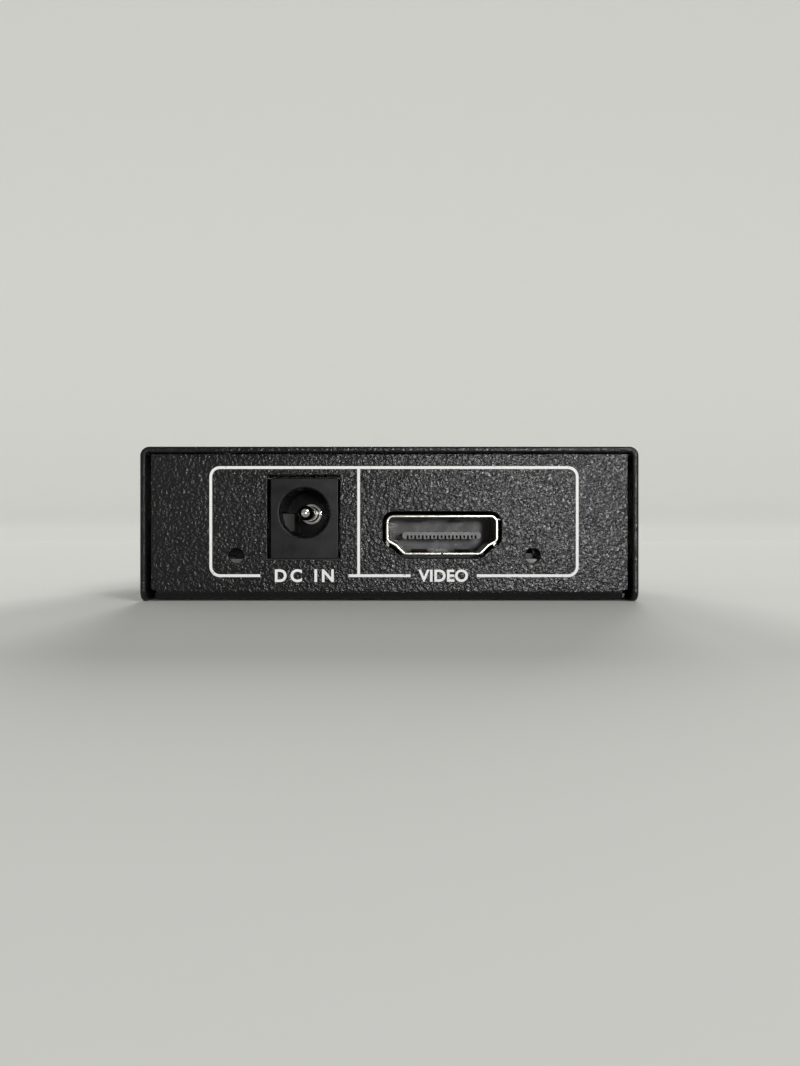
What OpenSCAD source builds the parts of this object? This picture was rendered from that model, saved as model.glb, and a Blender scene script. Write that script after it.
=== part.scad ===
// Small two-way video splitter in a folded steel case, standing on its base.
// X runs along the input panel, Y from the input panel to the output panel, Z up.
// The origin is the middle of the footprint, on the surface that the case stands on.

/* [Case] */
// Width across the cover's side walls
case_w = 65; // [62:0.5:90]
// Depth from the cover's front edge to its rear edge
case_d = 56; // [54:0.5:90]
// Height of the closed case
case_h = 20.2; // [19.4:0.1:30]
// Thickness of the coated steel sheet
sheet_t = 0.8; // [0.6:0.1:1.2]
// Outer radius of every fold
fold_r = 1.2; // [1.2:0.1:2]
// How far each panel sits behind the cover's edge
panel_recess = 0.8; // [0.4:0.1:2]
// Clearance between a panel's end and the cover's side wall
side_gap = 0.4; // [0.2:0.05:0.8]
// Clearance between a panel's upper edge and the cover's roof
top_gap = 0.1; // [0.1:0.05:0.6]
// How far the cover's walls reach below the chassis
wall_drop = 0.2; // [0.1:0.05:0.4]
// Radius of the lower corners of the cover's walls
wall_corner_r = 1.4; // [0.6:0.1:3]
// Width of the relief notch at each end of a chassis fold
relief_w = 0.7; // [0.4:0.1:1.2]

/* [Cover screws] */
// Thread diameter of the cover screws
screw_d = 2; // [1.6:0.1:2.5]
// Length of a cover screw, head included
screw_len = 4; // [3:0.5:5]
// Distance of the cover screws from the middle of the case
screw_y = 16; // [10:0.5:17]
// Height of the cover screws above the base
screw_z = 10; // [9:0.5:13]
// Width of the chassis tabs that take the cover screws
tab_w = 8; // [6:0.5:12]
// Height of a tab above its screw
tab_rise = 3.2; // [2.5:0.1:5]
// Clearance between a tab and the cover's side wall
tab_gap = 0.05; // [0.05:0.05:0.15]
// Depth of the drawn collar that gives a tab its thread
collar_len = 0.9; // [0.6:0.1:1.5]

/* [Board] */
// Height of the board's upper face
board_top = 5.5; // [5:0.1:6.5]
// Thickness of the board
board_t = 1.6; // [1.2:0.1:2]
// Clearance between the board and each panel
board_end_gap = 0.4; // [0.3:0.1:1]
// Clearance between the board and the chassis tabs
board_side_gap = 0.8; // [0.5:0.1:2]
// Corner radius of the board
board_corner_r = 1; // [0.5:0.1:2]
// Distance of the board screws from the board's edges
board_screw_inset = 4; // [3.5:0.1:4.6]
// Thread diameter of the board screws
board_screw_d = 2.5; // [2:0.1:3]
// Length of a board screw under its head
board_screw_len = 4; // [3.5:0.1:4.2]
// Head diameter of the board screws
board_head_d = 4.5; // [4:0.1:5]
// Head height of the board screws
board_head_h = 1.5; // [1.2:0.1:2]
// Body diameter of the standoffs
standoff_d = 4.4; // [4:0.1:5]
// Diameter of the spigot that holds a standoff in the base
spigot_d = 3.6; // [3.2:0.1:3.8]

/* [Video ports] */
// Width of a port's mouth
port_w = 14; // [13.8:0.05:14.4]
// Height of a port's mouth
port_h = 4.55; // [4.4:0.05:4.8]
// Width of the flat floor of a port's mouth
port_floor_w = 9.75; // [9.2:0.05:10.2]
// Height of the shoulder where the slanted lower corners begin
port_shoulder_h = 1.65; // [1.4:0.05:1.9]
// How far the bend in a slanted corner lies inside the mouth's side
port_bend_in = 1.05; // [0.9:0.05:1.2]
// Height of that bend above the mouth's floor
port_bend_h = 1.07; // [1.05:0.01:1.15]
// Thickness of the plated shell
port_shell_t = 0.35; // [0.25:0.05:0.4]
// Depth of a port behind its mouth
port_depth = 10.8; // [10.4:0.1:11.5]
// Clearance between the board and the underside of a shell
port_lift = 0.55; // [0.3:0.05:0.8]
// How far a shell stands out of its panel
port_proud = 0.2; // [0:0.05:0.6]
// Clearance between a shell and its cut-out
port_cutout_gap = 0.45; // [0.25:0.05:0.6]
// Sideways place of the input port
input_x = 6.9; // [5:0.1:9]
// Distance between the two output ports
output_pitch = 27; // [25:0.5:29]
// Width of a port's tongue
tongue_w = 10.4; // [10.2:0.05:10.8]
// Thickness of a port's tongue
tongue_t = 0.9; // [0.8:0.05:1]
// Height of the tongue's middle above the mouth's floor
tongue_z = 2.2; // [2.1:0.05:2.3]
// How far the tongue's tip lies behind the mouth
tongue_setback = 1.6; // [1:0.1:2.4]
// How far the inner back wall lies behind the mouth
port_wall_y = 7.6; // [7:0.1:8]
// Contacts in a port's upper row
contact_count = 10; // [8:1:10]
// Distance between neighbouring contacts of one row
contact_pitch = 1; // [0.9:0.05:1]
// Width of a contact strip
contact_w = 0.3; // [0.2:0.05:0.35]
// Thickness of a contact strip
contact_t = 0.2; // [0.15:0.01:0.25]
// Width of a shell's grip fingers
finger_w = 2.2; // [1.8:0.1:2.6]
// How far a grip finger dips into the mouth
finger_dip = 0.35; // [0.2:0.05:0.5]
// Width of a shell's solder legs
leg_w = 1.4; // [1:0.1:1.8]
// Length of the solder legs below the board
leg_below = 1; // [0.6:0.1:1.2]

/* [Power jack] */
// Width of the jack
jack_w = 9; // [8.8:0.1:9.6]
// Height of the jack
jack_h = 10.7; // [10.5:0.1:11.5]
// Depth of the jack
jack_d = 14.2; // [13.8:0.1:15]
// Sideways place of the jack
jack_x = -11.25; // [-13:0.05:-10]
// How far the jack's face lies behind the panel's face
jack_setback = 0.9; // [0.5:0.05:1.2]
// Height of the barrel's axis above the board
jack_axis_h = 6.1; // [5.8:0.05:6.4]
// Diameter of the socket
socket_d = 6.5; // [6.2:0.05:6.8]
// Depth of the socket
socket_depth = 9.6; // [9:0.1:10]
// Chamfer of the socket's rim
socket_chamfer = 0.25; // [0.15:0.05:0.4]
// Diameter of the centre pin
pin_d = 2; // [1.6:0.05:2.5]
// How far the pin's tip lies behind the jack's face
pin_setback = 0.9; // [0.5:0.1:1.5]
// Thickness of the jack's metal strips
strip_t = 0.25; // [0.2:0.01:0.3]
// Width of the sprung leaf
leaf_w = 2.4; // [2:0.1:2.8]
// How far the leaf's middle lies below the barrel's axis
leaf_drop = 1.2; // [0.5:0.05:1.4]
// Clearance between the jack and its cut-out, at the sides
jack_side_gap = 0.27; // [0.2:0.01:0.4]
// Clearance above the jack in its cut-out
jack_top_gap = 0.35; // [0.3:0.05:0.9]

/* [Indicators] */
// Diameter of the indicator holes
led_hole_d = 2; // [1.6:0.1:2.4]
// Height of an indicator hole above the board
led_rise = 0.45; // [0.3:0.05:0.7]
// Sideways place of the power lamp
power_led_x = -20.1; // [-21:0.1:-18.5]
// Sideways place of the input lamp
input_led_x = 18.8; // [17.5:0.1:20]
// Distance between the two output lamps
output_led_pitch = 6; // [4:0.5:7]
// Length of a lamp
led_l = 1.6; // [1.4:0.1:2]
// Width of a lamp
led_w = 0.8; // [0.7:0.05:1]
// Height of a lamp
led_h = 0.7; // [0.6:0.05:1]
// How far a lamp lies inside the board's edge
led_inset = 2.2; // [0.4:0.1:3]

/* [Board parts] */
// Side of the splitter chip's body
chip_w = 12; // [10:0.5:13]
// Height of the splitter chip
chip_h = 1.4; // [1:0.1:1.8]
// Leads on each side of the splitter chip
chip_leads = 14; // [10:1:15]
// Distance between the splitter chip's leads
chip_pitch = 0.7; // [0.5:0.05:0.75]
// Diameter of the bulk capacitors
bulk_d = 5; // [4:0.1:6]
// Height of the bulk capacitors
bulk_h = 5.4; // [4:0.1:6]
// Side of the power inductor
inductor_w = 5; // [4:0.1:6]
// Height of the power inductor
inductor_h = 3; // [2:0.1:4]
// Length of the crystal's can
crystal_l = 10.2; // [8:0.1:11]
// Length of a chip resistor or chip capacitor
chip_part_l = 1.6; // [1:0.1:2]

/* [Hidden] */
$fn = 48;
// Overrun of a cut past the face that it opens
cut = 1;
// Clearance of pieces that are pressed or slid together
fit_gap = 0.05;
// Smallest rounding of an inner corner
least_r = 0.1;

// Case, worked out from the outside in
wall_in = case_w / 2 - sheet_t;
panel_w = 2 * (wall_in - side_gap);
panel_h = case_h - wall_drop - sheet_t - top_gap;
chassis_d = case_d - 2 * panel_recess;
base_top = wall_drop + sheet_t;
tab_span = 2 * (wall_in - tab_gap);
tab_h = screw_z + tab_rise - wall_drop;
tab_corner_r = 1.5;
relief_len = fold_r + 0.5;

// Cover screws: a right-angled countersink as deep as the sheet
screw_land = 0.1;
screw_head_d = screw_d + 2 * (sheet_t + screw_land);
recess_slot = [0.45, 1.9, 0.55];
collar_wall = 0.6;

// Board and its fixings
board_w = tab_span - 2 * (sheet_t + board_side_gap);
board_d = chassis_d - 2 * (sheet_t + board_end_gap);
board_low = board_top - board_t;
board_screw_at = [board_w / 2 - board_screw_inset, board_d / 2 - board_screw_inset];
board_hole_gap = 0.15;
standoff_floor = 0.4;

// Video port, in its own frame: mouth at y = 0, floor of the mouth at z = 0
mouth_y = -chassis_d / 2 - port_proud;
mouth_z = board_top + port_lift + port_shell_t;
port_foot = -(port_lift + port_shell_t);
port_corners = [
    [port_floor_w / 2, 0], [port_w / 2 - port_bend_in, port_bend_h],
    [port_w / 2, port_shoulder_h], [port_w / 2, port_h],
    [-port_w / 2, port_h], [-port_w / 2, port_shoulder_h],
    [port_bend_in - port_w / 2, port_bend_h], [-port_floor_w / 2, 0]
];
port_radii = [0.45, 0, 0.45, 0.65, 0.65, 0.45, 0, 0.45];
shell_seam = 0.12;
shell_floor_len = port_wall_y + 0.4;
shell_back_z = port_h - 1.3;
finger_from = 2.4;
finger_to = port_wall_y - 0.3;
finger_slot = 0.3;
finger_x = 2.9;
finger_bump = finger_from + 1.7;
leg_at = [3.4, port_depth - 1.9];
block_front = port_wall_y + 0.6;
block_back = port_depth - port_shell_t - fit_gap;
boss_inset = 0.45;
tongue_round = 0.4 * tongue_t;
block_base_w = port_floor_w + 1.6;
contact_tip = tongue_setback + 0.35;
contact_rise = 0.05;
contact_gap = 0.02;
contact_drop_y = port_depth + 0.1;
contact_foot_l = 1.4;
upper_bar_z = tongue_z + tongue_t / 2 + contact_rise - contact_t;
lower_bar_z = tongue_z - tongue_t / 2 - contact_rise;
tip_notch = [contact_pitch / 4, 0.3, 0.28];

// Power jack, in its own frame: face at y = 0, board at z = 0, axis at x = 0
jack_y = -chassis_d / 2 + jack_setback;
jack_flange_d = 3.2;
jack_wall = 1.6;
jack_back = socket_depth + jack_wall;
jack_cheek = 2.2;
jack_cheek_h = jack_axis_h + 0.6;
jack_foot_gap = 0.05;
jack_corner_r = 0.3;
barrel_d = 2 * (jack_h - jack_axis_h) - 0.4;
pin_flange = [pin_d + 1, 0.4];
pin_neck_d = 1.5;
pin_rivet = [2.6, 0.4];
leaf_root = [-(jack_w / 2 - 0.45), 3.7];
leaf_apex = [-(socket_d / 2 - 0.95), 7.3];
leaf_tip = [-(socket_d / 2 + 0.15), jack_back - 0.7];
leaf_heel = leaf_tip - [0, 1.2];
leaf_bow = [0.3, 0.8];
leaf_z = jack_axis_h - leaf_drop;
leaf_room = 0.2;
tail_w = 1.2;
switch_gap = 0.1;
switch_x = leaf_tip.x + strip_t / 2 + switch_gap;
switch_y = leaf_heel.y + 0.3;
sleeve_tail_y = leaf_root.y - 0.1;
tail_top = leaf_z - leaf_w / 2 - 0.1;

// Board parts
lead_t = 0.2;
lead_foot = 0.6;
lead_reach = 1;
lamp_lens_l = 0.7 * led_l;
lead_out = lead_reach / 2 + lead_foot - lead_t;
chip_x = 5;
part_gap = 1;
part_h = 0.8;
part_pitch = 1.6;
row_gap = 1.2;
input_row_y = mouth_y + contact_drop_y + contact_foot_l + row_gap;
output_row_y = -input_row_y;
resistor_out = 3;
resistor_x = chip_w / 2 + resistor_out;
resistor_pitch = 2.2;

memory_body = [4.9, 3.9, 1.5];
memory_pitch = 1.27;
memory_lead_w = 0.45;
memory_out = 6;
memory_x = chip_x + resistor_x + memory_out;

crystal_can = [crystal_l, 3.7, 3.2];
crystal_rim = [0.6, 0.5];
crystal_corner_r = crystal_can.y / 2 - 0.05;
crystal_x = chip_x - resistor_x - part_h / 2 - part_gap - crystal_rim.x - crystal_can.y / 2;

// Power parts, in a row from the jack to the output port beside the board's end
power_inset = 8;
power_x = -board_w / 2 + power_inset;
regulator_body = [6.5, 3.5, 1.6];
regulator_pitch = 2.3;
regulator_lead_w = 0.7;
regulator_tab_w = 3;
regulator_y = jack_y + jack_d + part_gap / 2 + lead_out + regulator_body.y / 2;
bulk_foot = [bulk_d + 0.3, 0.8];
bulk_y = output_row_y - chip_part_l / 2 - part_gap - bulk_foot.x / 2;
bulk_pitch = bulk_foot.x + part_gap;
inductor_corner_r = 0.8;
inductor_y = bulk_y - bulk_foot.x / 2 - part_gap - inductor_w / 2;

// Colours of the finishes
coat = "#1d1d1f";
nickel = "#d9d4c6";
gilt = "#c9a34a";
tin = "#b9bcc0";
resin = "#141415";
laminate = "#1f5b3a";
ceramic = "#b59a7a";
steel = "#9a9da1";

// Outline geometry

function unit(v) = v / norm(v);
function outward(p, q) = let (d = unit(q - p)) [d.y, -d.x];
function before(list, i) = list[(i + len(list) - 1) % len(list)];
function after(list, i) = list[(i + 1) % len(list)];

// Moves every edge of an anticlockwise outline outward by g
function grown(pts, g) = [
    for (i = [0 : len(pts) - 1])
        let (m = outward(before(pts, i), pts[i]), n = outward(pts[i], after(pts, i)))
            pts[i] + g * (m + n) / (1 + m * n)
];

// Half of the angle at corner c between the neighbours p and n
function half_angle(p, c, n) = acos(unit(p - c) * unit(n - c)) / 2;

// Middle of the arc of radius r that rounds corner c
function arc_middle(p, c, n, r) = c + unit(unit(p - c) + unit(n - c)) * r / sin(half_angle(p, c, n));

// Points where that arc leaves the two sides
function arc_ends(p, c, n, r) = [for (q = [p, n]) c + unit(q - c) * r / tan(half_angle(p, c, n))];

// Outline with a rounding of its own at each corner, or none where its radius is 0
module rounded_outline(pts, radii) {
    corners = [for (i = [0 : len(pts) - 1]) [before(pts, i), pts[i], after(pts, i), radii[i]]];
    polygon([for (k = corners) each k[3] > 0 ? arc_ends(k[0], k[1], k[2], k[3]) : [k[1]]]);
    for (k = corners)
        if (k[3] > 0)
            translate(arc_middle(k[0], k[1], k[2], k[3]))
                circle(k[3]);
}

// Mouth outline of a port, grown by g on every side
module port_outline(g) {
    rounded_outline(grown(port_corners, g), [for (r = port_radii) r > 0 ? max(r + g, least_r) : 0]);
}

// Strip of thickness t along the points of an open path
module strip_path(pts, t) {
    for (i = [0 : len(pts) - 2]) {
        span = pts[i + 1] - pts[i];
        translate(pts[i])
            rotate(atan2(span.y, span.x))
                translate([0, -t / 2])
                    square([norm(span), t]);
    }
    for (p = pts)
        translate(p)
            circle(d = t);
}

module rounded_plate(w, d, r) {
    square([w, d - 2 * r], center = true);
    square([w - 2 * r, d], center = true);
    for (x = [-1, 1], y = [-1, 1])
        translate([x * (w / 2 - r), y * (d / 2 - r)])
            circle(r);
}

// Tray profile with rounded lower corners, standing on the axis
module tray(w, h, r) {
    translate([-w / 2, r])
        square([w, h - r]);
    translate([-w / 2 + r, 0])
        square([w - 2 * r, h]);
    for (x = [-1, 1])
        translate([x * (w / 2 - r), r])
            circle(r);
}

// Sheet folded up at both sides
module folded_sheet(w, h) {
    difference() {
        tray(w, h, fold_r);
        translate([0, sheet_t])
            tray(w - 2 * sheet_t, h, max(fold_r - sheet_t, least_r));
    }
}

// Extrudes a profile drawn in Y and Z along X
module along_x(from, to) {
    translate([from, 0, 0])
        rotate([90, 0, 90])
            linear_extrude(to - from)
                children();
}

// Extrudes a profile drawn in X and Z along Y
module along_y(from, to) {
    translate([0, to, 0])
        rotate([90, 0, 0])
            linear_extrude(to - from)
                children();
}

// Round bar along Y
module bar_y(d, from, to) {
    translate([0, from, 0])
        rotate([-90, 0, 0])
            cylinder(d = d, h = to - from);
}

// Block between two opposite corners
module block(low, high) {
    translate(low)
        cube(high - low);
}

// Places of the connectors and fixings

module at_input() {
    translate([input_x, mouth_y, mouth_z])
        children();
}

module at_output(side) {
    translate([side * output_pitch / 2, -mouth_y, mouth_z])
        rotate(180)
            children();
}

module at_every_port() {
    at_input() children();
    for (side = [-1, 1])
        at_output(side) children();
}

module at_jack() {
    translate([jack_x, jack_y, board_top])
        children();
}

module at_board_screws() {
    for (x = [-1, 1], y = [-1, 1])
        translate([x * board_screw_at.x, y * board_screw_at.y, 0])
            children();
}

// Children point along their own +Z, out of the cover's side wall
module at_cover_screws() {
    for (x = [-1, 1], y = [-1, 1])
        translate([x * case_w / 2, y * screw_y, screw_z])
            rotate([0, x * 90, 0])
                children();
}

// Case

module chassis_blank() {
    translate([0, 0, wall_drop])
        along_x(-panel_w / 2, panel_w / 2)
            folded_sheet(chassis_d, panel_h);
    for (y = [-screw_y, screw_y])
        translate([0, y, wall_drop])
            intersection() {
                along_y(-tab_w / 2, tab_w / 2)
                    folded_sheet(tab_span, tab_h);
                along_x(-case_w, case_w)
                    rotate(180)
                        translate([0, -tab_h])
                            tray(tab_w, tab_h, tab_corner_r);
            }
    at_cover_screws()
        translate([0, 0, -2 * sheet_t - tab_gap - collar_len])
            cylinder(d = screw_d + 2 * collar_wall, h = collar_len + sheet_t / 2);
}

module fold_reliefs() {
    for (x = [-1, 1], y = [-1, 1])
        translate([x * panel_w / 2, y * chassis_d / 2, wall_drop])
            cube(2 * [relief_w, relief_len, fold_r], center = true);
}

module panel_openings() {
    at_every_port()
        along_y(-cut, sheet_t + port_proud + cut)
            port_outline(port_shell_t + port_cutout_gap);
    at_jack()
        block(
            [-jack_w / 2 - jack_side_gap, -jack_setback - cut, -jack_foot_gap],
            [jack_w / 2 + jack_side_gap, sheet_t + cut, jack_h + jack_top_gap]
        );
    for (x = [power_led_x, input_led_x])
        translate([x, -chassis_d / 2, board_top + led_rise])
            bar_y(led_hole_d, -cut, sheet_t + cut);
    for (x = [-1, 1])
        translate([x * output_led_pitch / 2, chassis_d / 2, board_top + led_rise])
            bar_y(led_hole_d, -sheet_t - cut, cut);
}

module chassis() {
    color(coat)
        difference() {
            chassis_blank();
            fold_reliefs();
            panel_openings();
            at_cover_screws()
                translate([0, 0, -case_w / 4])
                    cylinder(d = screw_d + 2 * fit_gap, h = case_w / 4);
            at_board_screws()
                translate([0, 0, wall_drop - cut])
                    cylinder(d = spigot_d + 2 * fit_gap, h = sheet_t + 2 * cut);
        }
}

module top_cover() {
    color(coat)
        difference() {
            intersection() {
                along_y(-case_d / 2, case_d / 2)
                    translate([0, case_h])
                        mirror([0, 1])
                            folded_sheet(case_w, case_h);
                along_x(-case_w, case_w)
                    tray(case_d, case_h + cut, wall_corner_r);
            }
            at_cover_screws()
                translate([0, 0, -sheet_t])
                    cylinder(
                        d1 = screw_head_d - 2 * sheet_t + 2 * fit_gap,
                        d2 = screw_head_d + 2 * fit_gap,
                        h = sheet_t
                    );
        }
}

module cover_screws() {
    color(steel)
        at_cover_screws()
            difference() {
                union() {
                    translate([0, 0, -sheet_t])
                        cylinder(d1 = screw_head_d - 2 * sheet_t, d2 = screw_head_d, h = sheet_t);
                    translate([0, 0, -screw_len])
                        cylinder(d = screw_d, h = screw_len - sheet_t / 2);
                }
                for (turn = [0, 90])
                    rotate(turn)
                        translate([0, 0, -recess_slot.z / 2])
                            cube([recess_slot.x, recess_slot.y, recess_slot.z + fit_gap], center = true);
            }
}

// Board and its fixings

module board_standoffs() {
    color(steel)
        at_board_screws()
            difference() {
                union() {
                    translate([0, 0, base_top])
                        cylinder(d = standoff_d, h = board_low - base_top);
                    translate([0, 0, wall_drop])
                        cylinder(d = spigot_d, h = sheet_t + fit_gap);
                }
                translate([0, 0, wall_drop + standoff_floor])
                    cylinder(d = board_screw_d + 2 * fit_gap, h = board_top);
            }
}

module board_screws() {
    color(steel)
        at_board_screws() {
            difference() {
                translate([0, 0, board_top])
                    cylinder(d = board_head_d, h = board_head_h);
                for (turn = [0, 90])
                    rotate(turn)
                        translate([0, 0, board_top + board_head_h])
                            cube([recess_slot.x, 1.5 * recess_slot.y, 2 * recess_slot.z], center = true);
            }
            translate([0, 0, board_top - board_screw_len])
                cylinder(d = board_screw_d, h = board_screw_len + board_head_h / 4);
        }
}

module leg_slots() {
    for (x = [-1, 1], y = leg_at)
        translate([x * (port_w + port_shell_t) / 2, y, port_foot - board_t / 2])
            cube(
                [port_shell_t + 2 * board_hole_gap, leg_w + 2 * board_hole_gap, board_t + 2 * cut],
                center = true
            );
}

module tail_slots() {
    slot = [strip_t + 2 * board_hole_gap, tail_w + 2 * board_hole_gap, board_t + 2 * cut];
    translate([leaf_root.x, sleeve_tail_y + tail_w / 2, -board_t / 2])
        cube(slot, center = true);
    translate([switch_x + strip_t / 2, switch_y + tail_w / 2, -board_t / 2])
        cube(slot, center = true);
    translate([0, jack_back + strip_t / 2, -board_t / 2])
        rotate(90)
            cube(slot, center = true);
}

module circuit_board() {
    color(laminate)
        difference() {
            translate([0, 0, board_low])
                linear_extrude(board_t)
                    rounded_plate(board_w, board_d, board_corner_r);
            at_board_screws()
                cylinder(d = board_screw_d + 2 * board_hole_gap, h = case_h);
            at_every_port() leg_slots();
            at_jack() tail_slots();
        }
}

// Video ports

// Grip finger of the roof: rooted at the back, dipping to a bump, tip turned out again
module grip_finger() {
    along_x(-finger_w / 2, finger_w / 2)
        strip_path([
            [finger_to + 2 * finger_slot, port_h + port_shell_t / 2],
            [finger_to - finger_slot, port_h + port_shell_t / 2],
            [finger_bump, port_h + port_shell_t / 2 - finger_dip],
            [finger_from + finger_slot + port_shell_t / 2, port_h + port_shell_t / 2]
        ], port_shell_t);
}

module finger_window() {
    block(
        [-finger_w / 2 - finger_slot, finger_from, port_h - cut],
        [finger_w / 2 + finger_slot, finger_to, port_h + cut]
    );
}

// Repeats what belongs to one roof finger for all four, two in the roof and two in the floor
module at_fingers() {
    for (x = [-finger_x, finger_x]) {
        translate([x, 0, 0]) children();
        translate([x, 0, port_h])
            mirror([0, 0, 1])
                children();
    }
}

module port_shell() {
    color(nickel) {
        difference() {
            along_y(0, port_depth)
                port_outline(port_shell_t);
            along_y(-cut, port_depth + cut)
                port_outline(0);
            at_fingers() finger_window();
            block(
                [-shell_seam / 2, -cut, -port_shell_t - cut],
                [shell_seam / 2, port_depth + cut, port_shoulder_h]
            );
            block(
                [-port_w, shell_floor_len, -port_shell_t - cut],
                [port_w, port_depth + cut, port_shoulder_h]
            );
        }
        at_fingers() grip_finger();
        intersection() {
            along_y(port_depth - port_shell_t, port_depth)
                port_outline(port_shell_t / 2);
            block([-port_w, 0, shell_back_z], [port_w, port_depth, 2 * port_h]);
        }
        for (x = [-1, 1], y = leg_at)
            translate([x * (port_w + port_shell_t) / 2, y, 0])
                block(
                    [-port_shell_t / 2, -leg_w / 2, port_foot - board_t - leg_below],
                    [port_shell_t / 2, leg_w / 2, port_shoulder_h + leg_w / 2]
                );
    }
}

// Calls its child once for each contact, with the height of that contact's bar as $bar_z
module each_contact() {
    for (i = [0 : contact_count - 1])
        translate([(i - (contact_count - 1) / 2) * contact_pitch, 0, 0]) {
            $bar_z = upper_bar_z;
            children();
        }
    for (i = [0 : contact_count - 2])
        translate([(i - (contact_count - 2) / 2) * contact_pitch, 0, 0]) {
            $bar_z = lower_bar_z;
            children();
        }
}

module port_insulator() {
    color(resin)
        difference() {
            union() {
                along_y(block_front, block_back)
                    port_outline(-fit_gap);
                along_y(port_wall_y, block_back)
                    port_outline(-boss_inset);
                block(
                    [-block_base_w / 2, block_front, port_foot],
                    [block_base_w / 2, block_back, port_shoulder_h]
                );
                translate([0, 0, tongue_z])
                    along_y(tongue_setback, block_back)
                        rounded_plate(tongue_w, tongue_t, tongue_round);
            }
            each_contact()
                block(
                    [-contact_w / 2 - contact_gap, contact_tip - contact_gap, $bar_z - contact_gap],
                    [contact_w / 2 + contact_gap, port_depth, $bar_z + contact_t + contact_gap]
                );
            for (i = [-contact_count + 1 : contact_count - 1])
                translate([i * contact_pitch / 2, tongue_setback, tongue_z - tongue_t / 2])
                    cube([tip_notch.x, 2 * tip_notch.y, 2 * tip_notch.z], center = true);
        }
}

module port_contacts() {
    color(gilt)
        each_contact()
            along_x(-contact_w / 2, contact_w / 2) {
                translate([contact_tip, $bar_z])
                    square([contact_drop_y + contact_t - contact_tip, contact_t]);
                translate([contact_drop_y, port_foot])
                    square([contact_t, $bar_z - port_foot + contact_t]);
                translate([contact_drop_y, port_foot])
                    square([contact_foot_l, contact_t]);
            }
}

// Power jack

module jack_mass() {
    along_y(0, jack_flange_d)
        translate([0, jack_h / 2])
            rounded_plate(jack_w, jack_h, jack_corner_r);
    translate([0, 0, jack_axis_h])
        bar_y(barrel_d, 0, jack_back);
    block([-jack_w / 2, 0, 0], [jack_w / 2, jack_back, jack_axis_h]);
    for (x = [-1, 1])
        translate([x * (jack_w / 2 - jack_cheek / 2), 0, 0])
            block([-jack_cheek / 2, jack_back - cut, 0], [jack_cheek / 2, jack_d, jack_cheek_h]);
}

// Room for the leaf, its swing and the two tails beside it
module leaf_room_cut() {
    block(
        [-jack_w, leaf_root.y - strip_t / 2 - leaf_room, leaf_z - leaf_w / 2 - leaf_room],
        [leaf_apex.x + strip_t / 2 + leaf_room, jack_back - leaf_room, leaf_z + leaf_w / 2 + leaf_room]
    );
    block(
        [leaf_root.x - strip_t / 2 - fit_gap, sleeve_tail_y - fit_gap, -cut],
        [leaf_root.x + strip_t / 2 + fit_gap, sleeve_tail_y + tail_w + fit_gap, leaf_z]
    );
    block(
        [switch_x - fit_gap, switch_y - fit_gap, -cut],
        [switch_x + strip_t + fit_gap, switch_y + tail_w + fit_gap, leaf_z]
    );
}

module power_jack_housing() {
    color(resin)
        at_jack()
            difference() {
                jack_mass();
                translate([0, 0, jack_axis_h]) {
                    bar_y(socket_d, -cut, socket_depth);
                    bar_y(pin_neck_d + 2 * fit_gap, 0, jack_d);
                    rotate([-90, 0, 0])
                        cylinder(
                            d1 = socket_d + 2 * socket_chamfer,
                            d2 = socket_d,
                            h = socket_chamfer
                        );
                }
                leaf_room_cut();
            }
}

module power_jack_pin() {
    tip_y = pin_setback + pin_d / 2;
    color(tin)
        at_jack()
            translate([0, 0, jack_axis_h]) {
                translate([0, tip_y, 0])
                    sphere(d = pin_d);
                bar_y(pin_d, tip_y, socket_depth);
                bar_y(pin_flange.x, socket_depth - pin_flange.y, socket_depth);
                bar_y(pin_neck_d, tip_y, jack_back + strip_t + pin_rivet.y);
                bar_y(pin_rivet.x, jack_back + strip_t, jack_back + strip_t + pin_rivet.y);
            }
}

module power_jack_pin_terminal() {
    color(tin)
        at_jack()
            difference() {
                union() {
                    block(
                        [-pin_flange.x / 2, jack_back, jack_axis_h - pin_flange.x / 2],
                        [pin_flange.x / 2, jack_back + strip_t, jack_axis_h + pin_flange.x / 2]
                    );
                    block(
                        [-tail_w / 2, jack_back, -board_t - leg_below],
                        [tail_w / 2, jack_back + strip_t, jack_axis_h]
                    );
                }
                translate([0, 0, jack_axis_h])
                    bar_y(pin_neck_d + 2 * fit_gap, jack_back - cut, jack_back + strip_t + cut);
            }
}

// Leaf in its free state, bowed into the socket, its round root on the bending line
module power_jack_spring() {
    color(nickel)
        at_jack()
            translate([0, 0, leaf_z - leaf_w / 2])
                linear_extrude(leaf_w)
                    strip_path([
                        leaf_root,
                        leaf_apex - leaf_bow,
                        leaf_apex,
                        leaf_apex + [-leaf_bow.x, leaf_bow.y],
                        leaf_heel,
                        leaf_tip
                    ], strip_t);
}

module power_jack_sleeve_terminal() {
    color(nickel)
        at_jack()
            block(
                [leaf_root.x - strip_t / 2, sleeve_tail_y, -board_t - leg_below],
                [leaf_root.x + strip_t / 2, sleeve_tail_y + tail_w, tail_top]
            );
}

module power_jack_switch_contact() {
    color(nickel)
        at_jack()
            block(
                [switch_x, switch_y, -board_t - leg_below],
                [switch_x + strip_t, switch_y + tail_w, leaf_z + leaf_w / 2]
            );
}

// Indicator lamps

// Lamp on the board, just behind the panel whose outer face looks along -Y or +Y
module led(x, side) {
    translate([x, side * (board_d / 2 - led_inset - led_w / 2), board_top]) {
        translate([0, 0, led_h / 4])
            cube([led_l, led_w, led_h / 2], center = true);
        translate([0, 0, led_h / 2])
            cube([lamp_lens_l, led_w, led_h], center = true);
    }
}

module power_led() {
    color("honeydew")
        led(power_led_x, -1);
}

module input_led() {
    color("honeydew")
        led(input_led_x, -1);
}

module output_leds() {
    color("honeydew")
        for (x = [-1, 1])
            led(x * output_led_pitch / 2, 1);
}

// Board parts

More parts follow.
